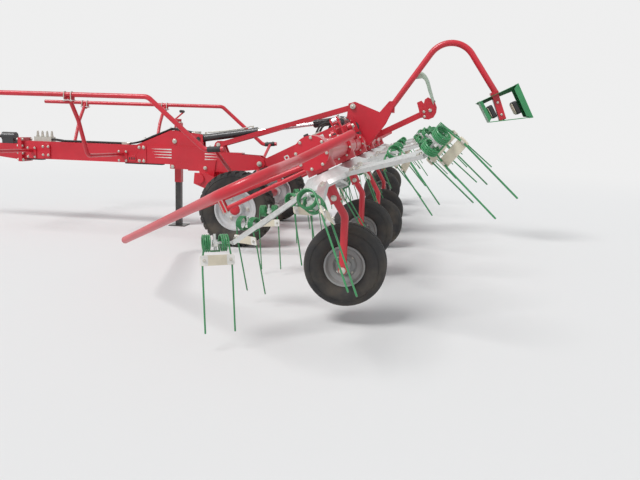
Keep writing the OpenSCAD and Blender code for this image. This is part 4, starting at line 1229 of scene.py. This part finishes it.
def lightBoxes():
    values = rearLights
    shape = Shape("rearLightBoxes", "centre_section")
    for x, z in values["boxes"]:
        m = place(fromAxle(x, 0, z), values["facing"], (0, 1, 0))
        shape.slab(m, rectangle(*values["box"]), values["deep"], "blackPlastic", 0.006)
        lens = m @ Matrix.Translation((0, 0, values["lensZ"]))
        shape.slab(lens, rectangle(*values["lens"]), values["lensThick"], "creamPlate", 0.003)
    thick = values["lipThick"]
    for foot, head, wide in values["lips"]:
        a, b = (fromAxle(x, 0, z) for x, z in (foot, head))
        length, along = (b - a).length, (b - a).normalized()
        inward = along.cross(sideways)
        cut = wide * values["lipTaper"]
        outline = [(0.0, 0.0), (length, 0.0), (length - cut, wide), (cut, wide)]
        turn = Matrix((along, inward, -sideways)).transposed().to_4x4()
        for y in values["lipY"]:
            m = Matrix.Translation(a + inward * values["lipSeat"] + Vector((0, y, 0))) @ turn
            shape.slab(m @ Matrix.Translation((0, 0, -thick)), outline, thick, "greenPaint", 0.0006)
    shape.done()


# box bar that carries the panel frame below the hoop, and the frame's folded top, from the axle in metres
lightPanel = {
    "strapY": 0.2,
    "barHead": (2.3515, 1.508),
    "barFoot": (2.4520, 1.254),
    "barSize": (0.066, 0.086),
    "barBolts": (0.35, 0.80),
    "barBolt": 0.006,
    "collar": (0.030, 0.078, 0.098),
    "topEdge": ((2.1860, 1.4075), (2.5565, 1.5985)),
    "topWide": 0.198,
    "topThick": 0.004,
    "lip": ((2.1860, 1.4075), (2.5565, 1.5985), (2.5640, 1.5500), (2.3728, 1.4640), (2.2300, 1.3900)),
    "lipThick": 0.003,
}


# green panel frame on the hoop's bar: the solid's own flats, without its thin strap
def panelFrame():
    mesh = nodes["panel_frame"].data.copy()
    mesh.name = "greenPanelFrame"
    bm = bmesh.new()
    bm.from_mesh(mesh)
    bmesh.ops.remove_doubles(bm, verts=bm.verts, dist=0.00001)
    strapFaces = [f for f in bm.faces if f.calc_center_median().y > lightPanel["strapY"]]
    bmesh.ops.delete(bm, geom=strapFaces, context="FACES")
    bmesh.ops.recalc_face_normals(bm, faces=bm.faces)
    bm.to_mesh(mesh)
    bm.free()
    mesh.materials.clear()
    mesh.materials.append(finishes["greenPaint"])
    piece = bpy.data.objects.new(mesh.name, mesh)
    bpy.context.scene.collection.objects.link(piece)
    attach(piece, "centre_section")
    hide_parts("panel_frame")


def panelBar():
    values = lightPanel
    shape = Shape("panelBar", "centre_section")
    head, foot = (fromAxle(x, 0, z) for x, z in (values["barHead"], values["barFoot"]))
    along = (foot - head).normalized()
    size, deep = values["barSize"]
    m = place(head.lerp(foot, 0.5) - sideways * deep / 2, sideways, along)
    shape.slab(m, rectangle((foot - head).length, size, 0.003), deep, "redPaint", 0.004)
    long, high, wide = values["collar"]
    m = place(head - sideways * wide / 2, sideways, along)
    shape.slab(m, rectangle(long, high, 0.004), wide, "redPaint", 0.004)
    for s in (-1, 1):
        for t in values["barBolts"]:
            shape.bolt(head.lerp(foot, t) + sideways * s * deep / 2, (0, s, 0), values["barBolt"])
    a, b = (fromAxle(x, 0, z) for x, z in values["topEdge"])
    m = place(a.lerp(b, 0.5), sideways.cross(b - a), b - a)
    shape.slab(m, rectangle((b - a).length, values["topWide"]), values["topThick"], "greenPaint", 0.0008)
    # the folded lip is on the far edge, behind the bar
    m = sidePlane(values["topWide"] / 2 - values["lipThick"])
    shape.slab(m, values["lip"], values["lipThick"], "greenPaint", 0.0006)
    shape.done()


# twisted strap from the hoop down to the clevis of the rear arm, with the width that shows at each place
rearStrap = {
    "path": ((1.577, 0.0325, 1.668, 0.078), (1.609, 0.040, 1.672, 0.074), (1.642, 0.068, 1.671, 0.060),
             (1.674, 0.100, 1.649, 0.044), (1.701, 0.145, 1.607, 0.038), (1.725, 0.190, 1.546, 0.037),
             (1.752, 0.235, 1.480, 0.033), (1.776, 0.275, 1.425, 0.027), (1.790, 0.300, 1.394, 0.024)),
    "wide": 0.078,
    "thick": 0.004,
    "crown": 0.006,
    "stations": (-1.0, -0.55, 0.0, 0.55, 1.0),
    "footBolt": (0.010, 0.002),
    "cheek": ((1.660, 1.330), (1.675, 1.381), (1.685, 1.445), (1.716, 1.466), (1.758, 1.447), (1.793, 1.411),
              (1.813, 1.366), (1.810, 1.312), (1.786, 1.263), (1.739, 1.241), (1.688, 1.244), (1.658, 1.280)),
    "cheekThick": 0.008,
    "cheekBolts": ((1.690, 1.268), (1.682, 1.318)),
    "armY": 0.300,
    "cheekY": 0.040,
    "pin": (1.745, 1.333),
    "pinHead": ((0.012, 0.012), (0.017, 0.009), (0.019, 0.0), (0.019, -0.002)),
    "spacerRadius": 0.013,
}


def strapAndClevis():
    values = rearStrap
    shape = Shape("twistedStrap", "centre_section")
    line = smoothPath([(x, y, z) for x, y, z, seen in values["path"]], 5)
    seen = [p[3] for p in values["path"]]
    count = len(line)
    start = len(shape.verts)
    for i, point in enumerate(line):
        at = i / (count - 1) * (len(seen) - 1)
        k = min(int(at), len(seen) - 2)
        cosine = (seen[k] + (seen[k + 1] - seen[k]) * (at - k)) / values["wide"]
        turn = math.acos(min(1.0, cosine))
        along = (line[min(i + 1, count - 1)] - line[max(i - 1, 0)]).normalized()
        flat = along.cross(sideways).normalized()
        wide = flat * math.cos(turn) + flat.cross(along) * math.sin(turn)
        facing = along.cross(wide)
        for way in (1, -1):
            for q in values["stations"][::way]:
                rise = values["crown"] * (1 - q * q) + way * values["thick"] / 2
                shape.verts.append(fromAxle(*point) + wide * (q * values["wide"] / 2) + facing * rise)
    n = 2 * len(values["stations"])
    faces = [tuple(start + j for j in range(n)), tuple(start + (count - 1) * n + j for j in reversed(range(n)))]
    for i in range(count - 1):
        for j in range(n):
            a, b = start + i * n + j, start + i * n + (j + 1) % n
            faces.append((a, a + n, b + n, b))
    # the strap's green carries a painted highlight in its colour
    shape.face(faces, "paleGreenPaintedHighlight")
    # cheeks on the arm's clevis, the flap across their tops and the pin with its spacer
    armY, reach = values["armY"], 2 * values["cheekY"]
    pinX, pinZ = values["pin"]
    for s in (-1, 1):
        y = armY + s * (values["cheekY"] - 0.0003)
        shape.slab(sidePlane(y, s), values["cheek"], values["cheekThick"], "redPaint")
        face = y + s * values["cheekThick"]
        for x, z in values["cheekBolts"]:
            shape.bolt(fromAxle(x, face, z), (0, s, 0), 0.007)
        shape.lathe(place(fromAxle(pinX, face, pinZ), (0, s, 0)), values["pinHead"], "zincBolt", 24)
    rows = [(values["spacerRadius"], reach), (values["spacerRadius"], 0.0)]
    shape.lathe(place(fromAxle(pinX, armY - values["cheekY"], pinZ), sideways), rows, "zincBolt", 24)
    for (x0, z0), (x1, z1) in zip(values["cheek"][3:5], values["cheek"][4:6]):
        a, b = fromAxle(x0, armY, z0), fromAxle(x1, armY, z1)
        m = place(a.lerp(b, 0.5), sideways.cross(b - a), b - a)
        shape.slab(m, rectangle((b - a).length + 0.006, reach + 0.012), 0.006, "redPaint")
    foot, (dx, dz) = values["path"][-2], values["footBolt"]
    shape.bolt(fromAxle(foot[0] + dx, foot[1], foot[2] + dz), (0.9, 0, 0.42), 0.006)
    shape.done()


for side, s in sides.items():
    roadTyre(side, s)
for i in range(6):
    fieldTyre(i)
    tinesOf(i)
    armBolts(i)
print("wheels and rotors dressed")
frameBolts()
labels()
chassisFittings()
hoses()
cylinderPieces()
smallPieces()
lightBoxes()
panelFrame()
panelBar()
strapAndClevis()
print("fittings made")

# pale floor, a backdrop that fades into it, soft studio light
studio = {
    "floorSize": 60.0,
    "floorColour": (0.80, 0.80, 0.79),
    "fade": (5.0, 16.0),
    "aim": (0.8, 0, 0.6),
    "keyPlace": (-3.5, -5.0, 9.0),
    "keyPower": 2.30,
    "keyAngle": 24.0,
    "fillPlace": (7.0, -5.0, 4.0),
    "fillPower": 0.28,
    "fillAngle": 60.0,
    "worldColour": (0.93, 0.95, 1.0),
    "world": 0.42,
    "seen": 0.86,
}


def seenRays(tree):
    # 1 where the camera looks at the backdrop, straight or by way of metal or glass
    rays = tree.nodes.new("ShaderNodeLightPath")
    seen = rays.outputs["Is Camera Ray"]
    for name in ("Is Glossy Ray", "Is Transmission Ray"):
        larger = tree.nodes.new("ShaderNodeMath")
        larger.operation = "MAXIMUM"
        tree.links.new(seen, larger.inputs[0])
        tree.links.new(rays.outputs[name], larger.inputs[1])
        seen = larger.outputs[0]
    return seen


def makeFloor():
    mesh = bpy.data.meshes.new("floor")
    half = studio["floorSize"] / 2
    corners = [(-half, -half, 0), (half, -half, 0), (half, half, 0), (-half, half, 0)]
    mesh.from_pydata(corners, [], [(0, 1, 2, 3)])
    floor = bpy.data.objects.new("floor", mesh)
    bpy.context.scene.collection.objects.link(floor)
    f = Finish("floorPaint")
    f.feed(Base_Color=studio["floorColour"], Roughness=0.9)
    # far from the machine the camera sees the floor as bright as the backdrop, so that no edge shows
    far = f.add("ShaderNodeVectorMath", {"operation": "LENGTH"}, f.place, out="Value").step(*studio["fade"])
    seen = Value(f, seenRays(f.tree))
    glow = f.tree.nodes.new("ShaderNodeEmission")
    glow.inputs["Color"].default_value = (studio["seen"],) * 3 + (1,)
    mixed = f.tree.nodes.new("ShaderNodeMixShader")
    f.tree.links.new((far * seen).socket, mixed.inputs[0])
    f.tree.links.new(f.shader.outputs[0], mixed.inputs[1])
    f.tree.links.new(glow.outputs[0], mixed.inputs[2])
    f.tree.links.new(mixed.outputs[0], f.tree.nodes["Material Output"].inputs["Surface"])
    mesh.materials.append(f.material)


def makeLight(kind):
    # a sun lamp, its shadow softened over an angle in degrees
    light = bpy.data.lights.new(kind + "Lamp", "SUN")
    light.energy = studio[kind + "Power"]
    light.angle = math.radians(studio[kind + "Angle"])
    lamp = bpy.data.objects.new(kind + "Lamp", light)
    lamp.location = studio[kind + "Place"]
    ahead = Vector(studio["aim"]) - Vector(studio[kind + "Place"])
    lamp.rotation_euler = ahead.to_track_quat("-Z", "Y").to_euler()
    bpy.context.scene.collection.objects.link(lamp)


def makeWorld():
    world = bpy.data.worlds.new("studio")
    bpy.context.scene.world = world
    world.use_nodes = True
    tree = world.node_tree
    background = tree.nodes["Background"]
    background.inputs["Color"].default_value = (*studio["worldColour"], 1)
    background.inputs["Strength"].default_value = studio["world"]
    seen = tree.nodes.new("ShaderNodeBackground")
    seen.inputs["Color"].default_value = (studio["seen"],) * 3 + (1,)
    mix = tree.nodes.new("ShaderNodeMixShader")
    tree.links.new(seenRays(tree), mix.inputs[0])
    tree.links.new(background.outputs[0], mix.inputs[1])
    tree.links.new(seen.outputs[0], mix.inputs[2])
    tree.links.new(mix.outputs[0], tree.nodes["World Output"].inputs["Surface"])


# camera at the photograph's place, level and angle
lens = {"place": (2.0834, -6.6437, 1.1076), "left": 7.546, "down": 9.865, "roll": 1.948, "focal": 36.0,
        "sensor": 36.0}


def makeCamera():
    left, down, roll = (math.radians(lens[k]) for k in ("left", "down", "roll"))
    forward = Vector((-math.sin(left) * math.cos(down), math.cos(left) * math.cos(down), -math.sin(down)))
    right = Vector((math.cos(left), math.sin(left), 0))
    up = right.cross(forward)
    turnedRight = right * math.cos(roll) + up * math.sin(roll)
    turnedUp = up * math.cos(roll) - right * math.sin(roll)
    data = bpy.data.cameras.new("camera")
    data.lens = lens["focal"]
    data.sensor_width = lens["sensor"]
    data.sensor_fit = "HORIZONTAL"
    data.clip_end = 200.0
    camera = bpy.data.objects.new("camera", data)
    camera.matrix_world = Matrix((turnedRight, turnedUp, -forward)).transposed().to_4x4()
    camera.location = lens["place"]
    bpy.context.scene.collection.objects.link(camera)
    bpy.context.scene.camera = camera


makeFloor()
makeLight("key")
makeLight("fill")
makeWorld()
makeCamera()
bpy.context.scene.view_settings.view_transform = "Standard"
print("studio set")
